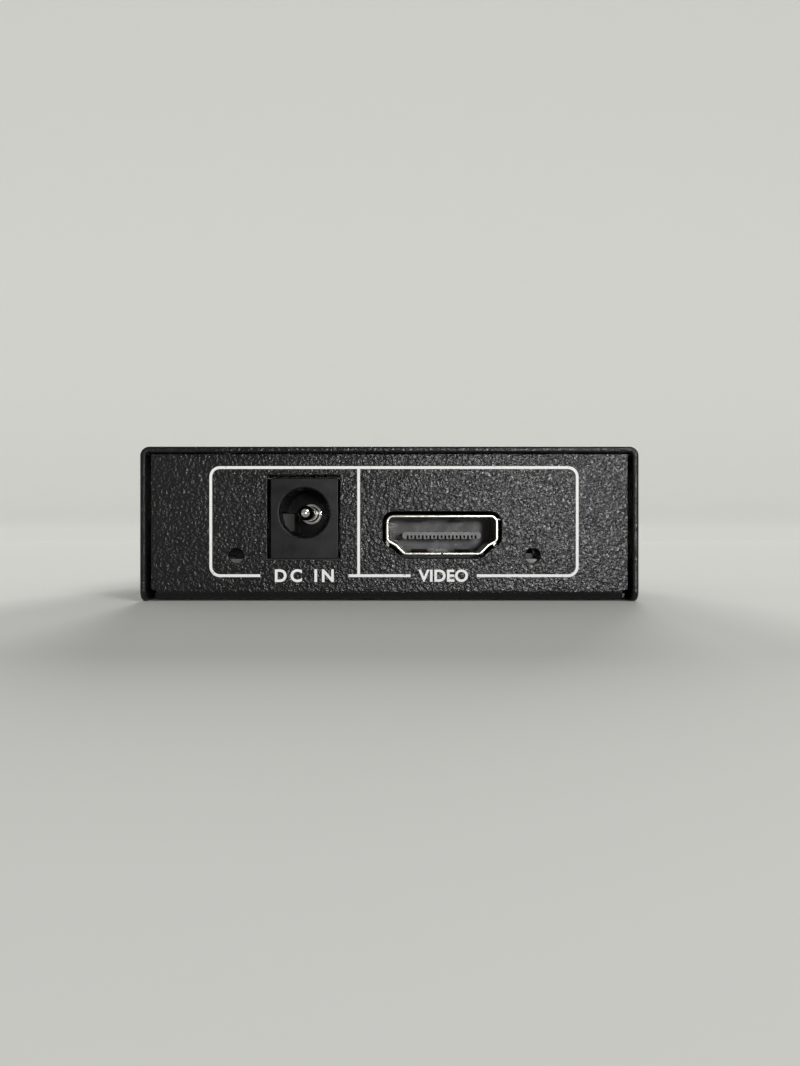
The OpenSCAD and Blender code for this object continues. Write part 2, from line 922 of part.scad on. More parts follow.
// Row of gull-wing leads whose shoulders leave a body side at y = -edge
module lead_row(count, pitch, width, edge, shoulder) {
    for (i = [0 : count - 1])
        translate([(i - (count - 1) / 2) * pitch, -edge, 0])
            along_x(-width / 2, width / 2) {
                translate([-lead_reach / 2, shoulder])
                    square([lead_reach, lead_t]);
                translate([-lead_reach / 2, 0])
                    square([lead_t, shoulder + lead_t]);
                translate([-lead_reach / 2 - lead_foot + lead_t, 0])
                    square([lead_foot, lead_t]);
            }
}

module chip_body(w, d, h) {
    translate([-w / 2, -d / 2, lead_t / 2])
        cube([w, d, h - lead_t / 2]);
}

module splitter_chip() {
    color(resin)
        translate([chip_x, 0, board_top]) {
            chip_body(chip_w, chip_w, chip_h);
            for (side = [0 : 3])
                rotate(90 * side)
                    lead_row(chip_leads, chip_pitch, chip_pitch / 2, chip_w / 2, chip_h / 2);
        }
}

module memory_chip() {
    color(resin)
        translate([memory_x, 0, board_top]) {
            chip_body(memory_body.x, memory_body.y, memory_body.z);
            for (side = [0, 180])
                rotate(side)
                    lead_row(4, memory_pitch, memory_lead_w, memory_body.y / 2, memory_body.z / 2);
        }
}

module voltage_regulator() {
    edge = regulator_body.y / 2;
    shoulder = regulator_body.z / 2;
    color(resin)
        translate([power_x, regulator_y, board_top]) {
            chip_body(regulator_body.x, regulator_body.y, regulator_body.z);
            lead_row(3, regulator_pitch, regulator_lead_w, edge, shoulder);
            rotate(180)
                lead_row(1, 0, regulator_tab_w, edge, shoulder);
        }
}

module power_inductor() {
    color("dimgray")
        translate([power_x, inductor_y, board_top])
            linear_extrude(inductor_h)
                rounded_plate(inductor_w, inductor_w, inductor_corner_r);
}

module crystal() {
    rim = [crystal_can.x, crystal_can.y] + 2 * crystal_rim.x * [1, 1];
    color(tin)
        translate([crystal_x, 0, board_top])
            rotate(90) {
                linear_extrude(crystal_rim.y)
                    rounded_plate(rim.x, rim.y, crystal_can.y / 2);
                linear_extrude(crystal_can.z)
                    rounded_plate(crystal_can.x, crystal_can.y, crystal_corner_r);
            }
}

module bulk_capacitors() {
    color(tin)
        for (i = [0, 1])
            translate([power_x + i * bulk_pitch, bulk_y, board_top]) {
                translate([0, 0, bulk_foot.y / 2])
                    cube([bulk_foot.x, bulk_foot.x, bulk_foot.y], center = true);
                cylinder(d = bulk_d, h = bulk_h);
            }
}

// Chip part lying along Y
module chip_part(x, y) {
    translate([x, y, board_top + part_h / 4])
        cube([part_h, chip_part_l, part_h / 2], center = true);
}

module chip_capacitors() {
    color(ceramic)
        for (i = [-3.5 : 3.5]) {
            chip_part(input_x + part_pitch * i, input_row_y);
            for (side = [-1, 1])
                chip_part(side * output_pitch / 2 + part_pitch * i, output_row_y);
        }
}

module chip_resistors() {
    color("black")
        for (i = [-2 : 2], side = [-1, 1])
            chip_part(chip_x + side * resistor_x, resistor_pitch * i);
}

chassis();
top_cover();
cover_screws();
board_standoffs();
board_screws();
circuit_board();
at_input() port_shell();  // input_port_shell
at_input() port_insulator();  // input_port_insulator
at_input() port_contacts();  // input_port_contacts
at_output(1) port_shell();  // output_1_shell
at_output(1) port_insulator();  // output_1_insulator
at_output(1) port_contacts();  // output_1_contacts
at_output(-1) port_shell();  // output_2_shell
at_output(-1) port_insulator();  // output_2_insulator
at_output(-1) port_contacts();  // output_2_contacts
power_jack_housing();
power_jack_pin();
power_jack_pin_terminal();
power_jack_spring();
power_jack_sleeve_terminal();
power_jack_switch_contact();
power_led();
input_led();
output_leds();
splitter_chip();
memory_chip();
voltage_regulator();
power_inductor();
crystal();
bulk_capacitors();
chip_capacitors();
chip_resistors();
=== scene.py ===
"""Looks of a small two-way video splitter: folded steel case, video ports, power jack and panel print."""

import logging
import math
from dataclasses import dataclass, field
from enum import Enum
from typing import Any, Callable

import bmesh
import bpy
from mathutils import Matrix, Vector


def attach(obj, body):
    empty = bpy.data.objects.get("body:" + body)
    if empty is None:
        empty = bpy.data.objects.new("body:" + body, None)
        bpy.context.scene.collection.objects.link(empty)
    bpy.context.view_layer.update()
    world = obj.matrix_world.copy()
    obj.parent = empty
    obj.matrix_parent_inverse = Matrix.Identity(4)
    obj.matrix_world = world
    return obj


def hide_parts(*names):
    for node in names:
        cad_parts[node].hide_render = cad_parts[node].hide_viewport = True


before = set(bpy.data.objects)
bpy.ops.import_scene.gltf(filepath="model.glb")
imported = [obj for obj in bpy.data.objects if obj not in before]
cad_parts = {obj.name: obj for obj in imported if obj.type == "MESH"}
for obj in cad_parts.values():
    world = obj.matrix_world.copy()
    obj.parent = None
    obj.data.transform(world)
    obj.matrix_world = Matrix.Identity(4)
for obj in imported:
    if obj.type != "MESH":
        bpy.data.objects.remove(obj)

Point = tuple[float, float, float]
Span = tuple[float, float]
Colour = tuple[float, float, float]
Socket = bpy.types.NodeSocket
Test = Callable[[Vector], bool]

# Pieces are shaped in millimetres and degrees, and handed over in metres
MM = 0.001
CLOSE = 0.002  # lengths that differ by less are the same
MERGE = CLOSE / 2  # corners that are closer are one
FINE_MERGE = CLOSE / 4  # the same for a copied CAD mesh
OVERRUN = 1.0  # how far a cutter stands out, and a welded solid reaches in
FLAT = 0.5  # least angle between two faces that aren't one
SMOOTH = 40.0  # least angle that shows as an edge
BEVELLED = 45.0  # least angle that gets a rounding
CREASE = 50.0  # least angle of an edge that is picked as sharp
LEVEL = 0.9  # least upward share of a level face's normal
MIDDLE = (0.3, 0.7)  # range that a noise mostly keeps to
WHOLE = (0.0, 1.0)
FINER = 3.0  # how much finer the gloss is mottled than the colour
CASE_BODY = "case"
log = logging.getLogger("splitter")


def near(value: float, goal: float) -> bool:
    """Say whether two lengths in millimetres are the same."""
    return abs(value - goal) < CLOSE


def within(value: float, low: float, high: float) -> bool:
    """Say whether a length lies between two others or at one of them."""
    return low - CLOSE < value < high + CLOSE


def halfway(first: Point, second: Point) -> Vector:
    """Give the point halfway between two points."""
    return (Vector(first) + Vector(second)) / 2


def four_places(y: float) -> list[tuple[int, float]]:
    """Give the sides -1 and 1, each with a place in front of the middle and one behind it."""
    return [(side, at) for side in (-1, 1) for at in (-y, y)]


def shaded(colour: Colour, factor: float) -> Colour:
    """Make a colour darker or lighter by a factor."""
    return tuple(part * factor for part in colour)


class Pick(Enum):
    """What a selection in edit mode takes."""

    VERTS = (True, False, False)
    EDGES = (False, True, False)
    FACES = (False, False, True)


class Bond(Enum):
    """How one solid acts on another."""

    CUT = "DIFFERENCE"
    WELD = "UNION"


class Wall(Enum):
    """The side of a sheet to which its thickness goes."""

    INWARD = -1.0
    BOTH = 0.0
    OUTWARD = 1.0


class NodeSheet:
    """Shader nodes of one material, on the piece's own coordinates."""

    def __init__(self, name: str) -> None:
        """Start an empty sheet.

        Args:
            name: name of the material.
        """
        self.material = bpy.data.materials.new(name)
        self.material.use_nodes = True
        self.tree = self.material.node_tree
        self.shader = self.tree.nodes["Principled BSDF"]
        self.coords = self.add("ShaderNodeTexCoord")
        self.place = self.coords.outputs["Object"]

    def add(self, kind: str, **inputs: Any) -> bpy.types.Node:
        """Add a node and fill its inputs.

        Args:
            kind: Blender's type name of the node.
            inputs: values or sockets by input name, with _ for a space.

        Returns:
            The new node.
        """
        node = self.tree.nodes.new(kind)
        for name, value in inputs.items():
            self.fill(node.inputs[name.replace("_", " ")], value)
        return node

    def fill(self, target: Socket, value: Any) -> None:
        """Link a socket to an input, or set the input to a value.

        Args:
            target: the input.
            value: a socket or a value.
        """
        if isinstance(value, Socket):
            self.tree.links.new(value, target)
        else:
            target.default_value = value

    def to_shader(self, name: str, value: Any) -> None:
        """Give an input of the shader a socket or a value."""
        self.fill(self.shader.inputs[name], value)

    def axis(self, source: Socket, name: str) -> Socket:
        """Give a vector's part along an axis."""
        return self.add("ShaderNodeSeparateXYZ", Vector=source).outputs[name]

    def stretched(self, scale: Point) -> Socket:
        """Give the coordinates, drawn out along each axis by a factor."""
        return self.add("ShaderNodeMapping", Vector=self.place, Scale=scale).outputs["Vector"]

    def noise(
        self, size: float, detail: float = 2.0, distortion: float = 0.0, place: Socket | None = None
    ) -> Socket:
        """Add cloudy noise.

        Args:
            size: size of its features in millimetres.
            detail: octaves of finer noise.
            distortion: how far it is swirled.
            place: coordinates, or None for the piece's own.

        Returns:
            The noise's value.
        """
        node = self.add(
            "ShaderNodeTexNoise",
            Vector=place or self.place,
            Scale=1 / (size * MM),
            Detail=detail,
            Distortion=distortion,
        )
        return node.outputs["Fac"]

    def spread(self, source: Socket, low: float, high: float, reach: Span = MIDDLE) -> Socket:
        """Map a value's range to two results.

        Args:
            source: the value.
            low: result at the range's lower end.
            high: result at its upper end.
            reach: the range.

        Returns:
            The mapped value.
        """
        node = self.add("ShaderNodeMapRange", Value=source, From_Min=reach[0], From_Max=reach[1])
        self.fill(node.inputs["To Min"], low)
        self.fill(node.inputs["To Max"], high)
        return node.outputs["Result"]

    def mottled(self, source: Socket, colour: Colour, shade: float) -> Socket:
        """Give a colour that goes darker, by a factor, where a noise is low."""
        return self.ramp(source, [(MIDDLE[0], shaded(colour, shade)), (MIDDLE[1], colour)])

    def ramp(self, source: Socket, stops: list[tuple[float, Colour]]) -> Socket:
        """Colour a value by stops.

        Args:
            source: the value.
            stops: positions and their colours, in rising order.

        Returns:
            The colour.
        """
        node = self.add("ShaderNodeValToRGB", Fac=source)
        elements = node.color_ramp.elements
        while len(elements) < len(stops):
            elements.new(0.5)
        for element, (position, colour) in zip(elements, stops):
            element.position = position
            element.color = (*colour, 1.0)
        return node.outputs["Color"]

    def blend(self, share: Socket, first: Socket, second: Socket) -> Socket:
        """Mix two colours.

        Args:
            share: how much of the second shows.
            first: colour at 0.
            second: colour at 1.

        Returns:
            The mixed colour.
        """
        node = self.add("ShaderNodeMix")
        node.data_type = "RGBA"
        sockets = {socket.identifier: socket for socket in (*node.inputs, *node.outputs)}
        for name, source in (("Factor_Float", share), ("A_Color", first), ("B_Color", second)):
            self.fill(sockets[name], source)
        return sockets["Result_Color"]

    def work_out(self, operation: str, *values: Any) -> Socket:
        """Work out a value.

        Args:
            operation: Blender's name of the operation.
            values: sockets or values, in its order.

        Returns:
            The result.
        """
        node = self.add("ShaderNodeMath")
        node.operation = operation
        for target, value in zip(node.inputs, values):
            self.fill(target, value)
        return node.outputs["Value"]

    def total(self, first: Socket, second: Socket, weight: float) -> Socket:
        """Add a second height, times a weight, to a first."""
        return self.work_out("MULTIPLY_ADD", second, weight, first)

    def relief(self, height: Socket, depth: float) -> None:
        """Give the shader a bump of some depth in millimetres."""
        bump = self.add("ShaderNodeBump", Height=height, Distance=depth * MM)
        self.to_shader("Normal", bump.outputs["Normal"])


@dataclass(frozen=True)
class Finish:
    """Finish with a mottled colour, uneven gloss and a fine grain; sizes in millimetres."""

    name: str
    colour: Colour
    shade: float = 0.8
    mottle: float = 2.5
    rough: Span = (0.4, 0.5)
    metallic: float = 0.0
    specular: float = 0.5
    grain: float = 0.12
    depth: float = 0.01
    stretch: Point = (1.0, 1.0, 1.0)

    def material(self) -> bpy.types.Material:
        """Find the finish's material, or make it.

        Returns:
            The material.
        """
        made = bpy.data.materials.get(self.name)
        if made is None:
            sheet = NodeSheet(self.name)
            sheet.to_shader("Metallic", self.metallic)
            sheet.to_shader("Specular IOR Level", self.specular)
            self.dress(sheet)
            made = sheet.material
        return made

    def surface(self, sheet: NodeSheet, gloss: Socket) -> None:
        """Add a gloss that follows a noise, and a grain that is the same every way.

        Args:
            sheet: nodes of the material.
            gloss: the noise.
        """
        sheet.to_shader("Roughness", sheet.spread(gloss, *self.rough))
        sheet.relief(sheet.noise(self.grain), self.depth)

    def dress(self, sheet: NodeSheet) -> None:
        """Add the colour, gloss and grain.

        Args:
            sheet: nodes of the material.
        """
        drawn = sheet.stretched(self.stretch)
        tone = sheet.noise(self.mottle, detail=3.0, place=drawn)
        gloss = sheet.noise(self.mottle / FINER, detail=4.0, place=drawn)
        sheet.to_shader("Base Color", sheet.mottled(tone, self.colour, self.shade))
        sheet.to_shader("Roughness", sheet.spread(gloss, *self.rough))
        sheet.relief(sheet.noise(self.grain, detail=3.0, place=drawn), self.depth)


@dataclass(frozen=True)
class PowderCoat(Finish):
    """Baked powder coat that has flowed into a leathery grain, dulled by dust where it faces up."""

    swirl: float = 0.9
    pebble: float = 0.6
    dust: float = 0.35
    settles: Span = (0.8, 1.0)

    def dress(self, sheet: NodeSheet) -> None:
        """Add the colour, gloss, dust and leathery grain.

        Args:
            sheet: nodes of the material.
        """
        worms = sheet.noise(self.grain, distortion=self.swirl)
        cells = sheet.add("ShaderNodeTexVoronoi", Vector=sheet.place, Scale=1 / (self.grain * MM))
        cells.feature = "SMOOTH_F1"
        leather = sheet.total(worms, cells.outputs["Distance"], self.pebble)
        tone = sheet.noise(self.mottle, detail=4.0)
        sheet.to_shader("Base Color", sheet.mottled(tone, self.colour, self.shade))
        upward = sheet.axis(sheet.coords.outputs["Normal"], "Z")
        settled = sheet.spread(upward, *WHOLE, self.settles)
        sheet.to_shader("Roughness", sheet.total(sheet.spread(worms, *self.rough), settled, self.dust))
        sheet.relief(leather, self.depth)


@dataclass(frozen=True)
class Laminate(Finish):
    """Board with a solder mask on its faces and bare glass fibre at its edges."""

    fibre: Colour = (0.13, 0.13, 0.11)
    track: Colour = (0.02, 0.13, 0.06)
    fibre_shade: float = 0.6
    track_size: float = 1.3
    track_edge: Span = (0.35, 0.45)
    ply: float = 0.2
    ply_stretch: Point = (0.1, 0.1, 1.0)

    def dress(self, sheet: NodeSheet) -> None:
        """Add the mask with its tracks, and the plies at the edges.

        Args:
            sheet: nodes of the material.
        """
        level = sheet.work_out("ABSOLUTE", sheet.axis(sheet.coords.outputs["Normal"], "Z"))
        tracks = sheet.add("ShaderNodeTexVoronoi", Vector=sheet.place, Scale=1 / (self.track_size * MM))
        tracks.distance = "MANHATTAN"
        stops = list(zip(self.track_edge, (self.track, self.colour)))
        mask = sheet.ramp(tracks.outputs["Distance"], stops)
        plies = sheet.noise(self.ply, place=sheet.stretched(self.ply_stretch))
        edge = sheet.mottled(plies, self.fibre, self.fibre_shade)
        sheet.to_shader("Base Color", sheet.blend(level, edge, mask))
        self.surface(sheet, sheet.noise(self.mottle))


@dataclass(frozen=True)
class PanelInk(Finish):
    """Screen-printed ink that doesn't quite fill the coat's valleys."""

    pit: Colour = (0.35, 0.35, 0.35)
    pit_edge: Span = (0.27, 0.36)

    def dress(self, sheet: NodeSheet) -> None:
        """Add the ink with its pits.

        Args:
            sheet: nodes of the material.
        """
        pits = sheet.noise(self.mottle, detail=3.0)
        stops = list(zip(self.pit_edge, (self.pit, self.colour)))
        sheet.to_shader("Base Color", sheet.ramp(pits, stops))
        self.surface(sheet, pits)


@dataclass(frozen=True)
class ShadedMoulding(Finish):
    """Moulded insulator with painted shade: its colour and sheen go darker inside than at its face.

    The reach, in metres from the case's middle, is where the inside ends and the face begins.
    """

    # face is the colour at the mouth; colour, deeper in, is darker as painted shade; inside is the specular
    # level deeper in, lowered as painted shade
    face: Colour = (0.14, 0.14, 0.142)
    inside: float = 0.5
    reach: Span = (0.0225, 0.0255)

    def dress(self, sheet: NodeSheet) -> None:
        """Add the colour and sheen by depth, with painted shade inside, then the gloss and the grain.

        Args:
            sheet: nodes of the material.
        """
        outward = sheet.work_out("ABSOLUTE", sheet.axis(sheet.place, "Y"))
        out_of_shade = sheet.spread(outward, *WHOLE, self.reach)
        tone = sheet.noise(self.mottle, detail=3.0)
        root = sheet.mottled(tone, self.colour, self.shade)
        face = sheet.mottled(tone, self.face, self.shade)
        # painted shade: the colour darkens from the face inwards, where the socket is shaded
        sheet.to_shader("Base Color", sheet.blend(out_of_shade, root, face))
        # painted shade: the sheen drops deeper in as well
        if self.inside != self.specular:
            shaded_sheen = sheet.spread(out_of_shade, self.inside, self.specular, WHOLE)
            sheet.to_shader("Specular IOR Level", shaded_sheen)
        self.surface(sheet, tone)


@dataclass(frozen=True)
class SweepPaper(Finish):
    """Matt paper, painted lighter along its curve where the lamps reach it less, so that floor and backdrop
    look alike; curve in metres.
    """

    curve: Span = (0.6, 1.2)
    painted_light_tones: tuple[Span, ...] = (
        (0.0, 1.0), (0.1, 1.1), (0.2, 1.27), (0.37, 1.25), (0.53, 1.17), (0.7, 1.1), (0.87, 1.04), (1.0, 1.0)
    )

    def dress(self, sheet: NodeSheet) -> None:
        """Add the colour along the curve, with its painted light.

        Args:
            sheet: nodes of the material.
        """
        # painted light: the paper is made lighter along the curve, where the lamps light it less
        stops = [(place, shaded(self.colour, tone)) for place, tone in self.painted_light_tones]
        along = sheet.spread(sheet.axis(sheet.place, "Y"), *WHOLE, self.curve)
        sheet.to_shader("Base Color", sheet.ramp(along, stops))
        sheet.to_shader("Roughness", self.rough[1])


COAT = PowderCoat(
    "powder_coat", (0.0095, 0.0097, 0.0095), shade=0.7, mottle=6.0,
    rough=(0.26, 0.16), specular=0.26, grain=0.42, depth=0.085,
)
INK = PanelInk("panel_ink", (0.93, 0.94, 0.92), mottle=0.3, rough=(0.45, 0.6), grain=0.4, depth=0.03)
NICKEL = Finish(
    "nickel_plate", (0.72, 0.69, 0.61), shade=0.88, mottle=1.2,
    rough=(0.13, 0.22), metallic=1.0, grain=0.08, depth=0.003,
)
# Port insulator, painted lighter at the tongue's tip and darker deeper in: painted shade
PORT_RESIN_PAINTED_SHADE = ShadedMoulding(
    "port_moulding_painted_shade", (0.05, 0.05, 0.052), mottle=1.5, rough=(0.35, 0.5), grain=0.1, depth=0.01
)
# Gold plate painted a dull dark brown: painted shade, so that the contacts stay dark in the comb's slots
GILT_PAINTED_SHADE = Finish(
    "gilding_painted_shade", (0.13, 0.115, 0.085), mottle=0.8, rough=(0.5, 0.6), metallic=1.0, grain=0.05, depth=0.003
)
# Jack body with painted shade in its bore: a darker colour and a lower sheen deeper in
JACK_RESIN_PAINTED_SHADE = ShadedMoulding(
    "jack_moulding_painted_shade", (0.003, 0.003, 0.0034), mottle=2.0,
    rough=(0.24, 0.34), specular=0.25, grain=0.15, depth=0.008,
    face=(0.005, 0.005, 0.0054), inside=0.07, reach=(0.0245, 0.0262),
)
JACK_PLATE = Finish(
    "bright_plate", (0.80, 0.79, 0.75), shade=0.9, mottle=0.9,
    rough=(0.06, 0.1), metallic=1.0, grain=0.06, depth=0.0005,
)
SPRING_PLATE = Finish(
    "spring_plate", (0.78, 0.78, 0.77), shade=0.85, mottle=0.9,
    rough=(0.34, 0.46), metallic=0.85, grain=0.06, depth=0.004,
)
BLACK_ZINC = Finish(
    "black_zinc", (0.06, 0.06, 0.065), mottle=0.7, rough=(0.3, 0.45), metallic=0.6, grain=0.08, depth=0.006
)
ZINC = Finish(
    "zinc_plate", (0.60, 0.61, 0.63), mottle=0.9, rough=(0.28, 0.42), metallic=1.0, grain=0.07, depth=0.005
)
LAMINATE = Laminate(
    "board_laminate", (0.03, 0.19, 0.09), mottle=1.0, rough=(0.3, 0.42), grain=0.25, depth=0.01
)
LENS = Finish(
    "lamp_lens", (0.009, 0.0095, 0.0085), mottle=0.4, rough=(0.2, 0.3), specular=0.1, grain=0.1, depth=0.003
)
CHIP_RESIN = Finish(
    "chip_moulding", (0.03, 0.03, 0.032), mottle=1.0, rough=(0.55, 0.7), grain=0.08, depth=0.01
)
CAN = Finish(
    "drawn_can", (0.74, 0.75, 0.77), shade=0.9, mottle=1.0,
    rough=(0.25, 0.38), metallic=1.0, stretch=(1.0, 1.0, 0.1),
)
FERRITE = Finish(
    "pressed_ferrite", (0.09, 0.09, 0.09), mottle=0.8, rough=(0.6, 0.75), grain=0.06, depth=0.015
)
CERAMIC = Finish("fired_ceramic", (0.40, 0.30, 0.19), mottle=0.6, rough=(0.4, 0.55), grain=0.05, depth=0.006)
RESISTOR = Finish(
    "resistor_glaze", (0.03, 0.03, 0.035), mottle=0.5, rough=(0.25, 0.4), grain=0.05, depth=0.005
)
SWEEP = SweepPaper("paper_sweep", (0.685, 0.69, 0.653), rough=(0.9, 1.0), specular=0.0)


class Workpiece:
    """One mesh on the bench, shaped in millimetres with edit-mode operators."""

    def __init__(self, obj: bpy.types.Object) -> None:
        """Take an object as the workpiece."""
        self.obj = obj

    @classmethod
    def take(cls, name: str, scale: Point = (1.0, 1.0, 1.0)) -> "Workpiece":
        """Name the primitive that was just added and settle its place in its mesh.

        Args:
            name: name of the piece.
            scale: factors along its own axes.

        Returns:
            The workpiece.
        """
        obj = bpy.context.object
        obj.name = obj.data.name = name
        obj.scale = scale
        cls.settle()
        return cls(obj)

    @classmethod
    def from_node(cls, name: str, node: str) -> "Workpiece":
        """Copy a CAD node's mesh in millimetres, with its corners merged and its flat faces made whole.

        Args:
            name: name of the copy.
            node: the CAD node.

        Returns:
            The copy.
        """
        cls.clear()
        obj = bpy.data.objects.new(name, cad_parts[node].data.copy())
        obj.data.name = name
        bpy.context.scene.collection.objects.link(obj)
        piece = cls(obj)
        piece.focus()
        obj.scale = (1 / MM, 1 / MM, 1 / MM)
        cls.settle()
        piece.pick_all()
        bpy.ops.mesh.remove_doubles(threshold=FINE_MERGE)
        bpy.ops.mesh.dissolve_limited(angle_limit=math.radians(FLAT))
        piece.face_outward()
        return piece

    @staticmethod
    def clear() -> None:
        """Leave edit mode with nothing selected."""
        if bpy.context.mode != "OBJECT":
            bpy.ops.object.mode_set(mode="OBJECT")
        bpy.ops.object.select_all(action="DESELECT")

    @staticmethod
    def settle() -> None:
        """Move the selected object's place, turn and scale into its mesh."""
        bpy.ops.object.transform_apply(location=True, rotation=True, scale=True)

    @classmethod
    def level_sheet(cls, name: str, low: Point, high: Point) -> "Workpiece":
        """Add a flat sheet that faces up.

        Args:
            name: name of the piece.
            low: corner with the least x and y.
            high: opposite corner.

        Returns:
            The workpiece.
        """
        cls.clear()
        bpy.ops.mesh.primitive_plane_add(size=1, location=halfway(low, high))
        return cls.take(name, (high[0] - low[0], high[1] - low[1], 1.0))

    @classmethod
    def upright_sheet(cls, name: str, low: Point, high: Point) -> "Workpiece":
        """Add a flat sheet that faces the input side.

        Args:
            name: name of the piece.
            low: corner with the least x and z.
            high: opposite corner.

        Returns:
            The workpiece.
        """
        cls.clear()
        bpy.ops.mesh.primitive_plane_add(size=1, location=halfway(low, high), rotation=(math.pi / 2, 0, 0))
        return cls.take(name, (high[0] - low[0], high[2] - low[2], 1.0))

    @classmethod
    def block(cls, name: str, low: Point, high: Point) -> "Workpiece":
        """Add a block between two opposite corners.

        Args:
            name: name of the piece.
            low: lowest corner.
            high: highest corner.

        Returns:
            The workpiece.
        """
        cls.clear()
        bpy.ops.mesh.primitive_cube_add(size=1, location=halfway(low, high))
        return cls.take(name, tuple(Vector(high) - Vector(low)))

    @classmethod
    def rod(
        cls,
        name: str,
        start: Point,
        end: Point,
        radius: float,
        end_radius: float | None = None,
        sides: int = 64,
    ) -> "Workpiece":
        """Add a round bar or a cone along a line.

        Args:
            name: name of the piece.
            start: middle of its first end.
            end: middle of its last end.
            radius: radius at the first end.
            end_radius: radius at the last end, or None for the same.
            sides: number of flats round it.

        Returns:
            The workpiece.
        """
        cls.clear()
        line = Vector(end) - Vector(start)
        bpy.ops.mesh.primitive_cone_add(
            vertices=sides,
            radius1=radius,
            radius2=radius if end_radius is None else end_radius,
            depth=line.length,
            location=halfway(start, end),
            rotation=Vector((0, 0, 1)).rotation_difference(line).to_euler(),
        )
        return cls.take(name)

    @classmethod
    def side_rods(
        cls, name: str, start: float, end: float, y: float, z: float, radius: float, **settings: Any
    ) -> list["Workpiece"]:
        """Add round bars or cones along X at four places, two on each side.

        Args:
            name: name of the pieces.
            start: distance of their first ends from the middle.
            end: distance of their last ends from the middle.
            y: distance of each along Y.
            z: their height.
            radius: radius at their first ends.
            settings: further values, as for one rod.

        Returns:
            The workpieces.
        """
        return [
            cls.rod(name, (side * start, at, z), (side * end, at, z), radius, **settings)
            for side, at in four_places(y)
        ]

    def focus(self) -> None:
        """Make this the only selected object."""
        self.clear()
        self.obj.select_set(True)
        bpy.context.view_layer.objects.active = self.obj

    def copy(self, name: str) -> "Workpiece":
        """Copy the workpiece with a mesh of its own.

        Args:
            name: name of the copy.

        Returns:
            The copy.
        """
        self.clear()
        twin = self.obj.copy()
        twin.data = self.obj.data.copy()
        twin.name = twin.data.name = name
        bpy.context.scene.collection.objects.link(twin)
        return Workpiece(twin)

    def put(self, place: Point = (0.0, 0.0, 0.0), turn: Point = (0.0, 0.0, 0.0)) -> None:
        """Turn the mesh about the origin and move it.

        Args:
            place: move in millimetres.
            turn: turns about X, Y and Z in degrees.
        """
        self.focus()
        self.obj.rotation_euler = [math.radians(angle) for angle in turn]
        self.obj.location = place
        self.settle()

    def mirror(self, axis: int, middle: float = 0.0) -> None:
        """Mirror the mesh across a plane square to an axis.

        Args:
            axis: 0, 1 or 2 for X, Y or Z.
            middle: where the plane cuts the axis.
        """
        self.focus()
        self.obj.scale[axis] = -1.0
        self.obj.location[axis] = 2 * middle
        self.settle()
        self.face_outward()

    def edit(self) -> bmesh.types.BMesh:
        """Go to edit mode on this mesh.

        Returns:
            The mesh in edit mode.
        """
        if bpy.context.mode != "EDIT_MESH" or bpy.context.object != self.obj:
            self.focus()
            bpy.ops.object.mode_set(mode="EDIT")
        return bmesh.from_edit_mesh(self.obj.data)

    def pick(self, kind: Pick, *tests: Test, sharp: float = 0.0) -> None:
        """Select what lies wholly where one of the tests says.

        Args:
            kind: what is selected.
            tests: each says whether a point is in its place.
            sharp: least angle in degrees between an edge's faces.
        """
        mesh = self.edit()
        bpy.context.tool_settings.mesh_select_mode = kind.value
        bpy.ops.mesh.select_all(action="DESELECT")
        items = {Pick.VERTS: mesh.verts, Pick.EDGES: mesh.edges, Pick.FACES: mesh.faces}[kind]
        for item in items:
            points = [item.co] if kind is Pick.VERTS else [corner.co for corner in item.verts]
            if not any(all(test(point) for point in points) for test in tests):
                continue
            if sharp and item.calc_face_angle(0.0) < math.radians(sharp):
                continue
            item.select_set(True)
        mesh.select_flush_mode()
        bmesh.update_edit_mesh(self.obj.data)

    def pick_all(self) -> None:
        """Select the whole mesh by its faces."""
        self.pick(Pick.FACES, lambda point: True)

    def extrude(self, *steps: Point) -> None:
        """Extrude what is selected, step after step.

        Args:
            steps: moves in millimetres.
        """
        for step in steps:
            bpy.ops.mesh.extrude_region_move(TRANSFORM_OT_translate={"value": step})

    def resize(self, factors: Point, middle: Point) -> None:
        """Scale what is selected about a point."""
        bpy.ops.transform.resize(value=factors, center_override=middle)

    def round_edges(self, radius: float, steps: int = 4) -> None:
        """Round the selected edges."""
        bpy.ops.mesh.bevel(offset=radius, segments=steps, affect="EDGES", clamp_overlap=False)

    def round_corners(self, reach: float, steps: int = 6) -> None:
        """Round the selected corners of a sheet, from a reach along their sides."""
        bpy.ops.mesh.bevel(offset=reach, segments=steps, affect="VERTICES", clamp_overlap=False)

    def delete_faces(self) -> None:
        """Delete the selected faces."""
        bpy.ops.mesh.delete(type="FACE")

    def bisect(self, at: Point, normal: Point, drop_front: bool = False, fill: bool = False) -> None:
        """Cut what is selected by a plane.

        Args:
            at: a point of the plane.
            normal: the way that the plane faces.
            drop_front: whether what lies in front of the plane goes.
            fill: whether the cut is closed.
        """
        bpy.ops.mesh.bisect(
            plane_co=at, plane_no=normal, clear_outer=drop_front, use_fill=fill, threshold=MERGE
        )

    def face_outward(self) -> None:
        """Merge doubles and make all faces point out."""
        self.pick_all()
        bpy.ops.mesh.remove_doubles(threshold=MERGE)
        bpy.ops.mesh.normals_make_consistent(inside=False)

    def modify(self, kind: str, **settings: Any) -> None:
        """Add a modifier and apply it.

        Args:
            kind: Blender's type name of the modifier.
            settings: its values by name.
        """
        self.focus()
        modifier = self.obj.modifiers.new(kind.lower(), kind)
        for name, value in settings.items():
            setattr(modifier, name, value)
        bpy.ops.object.modifier_apply(modifier=modifier.name)

    def thicken(self, thickness: float, wall: Wall = Wall.INWARD) -> None:
        """Give a sheet its thickness."""
        self.modify("SOLIDIFY", thickness=thickness, offset=wall.value, use_even_offset=True)

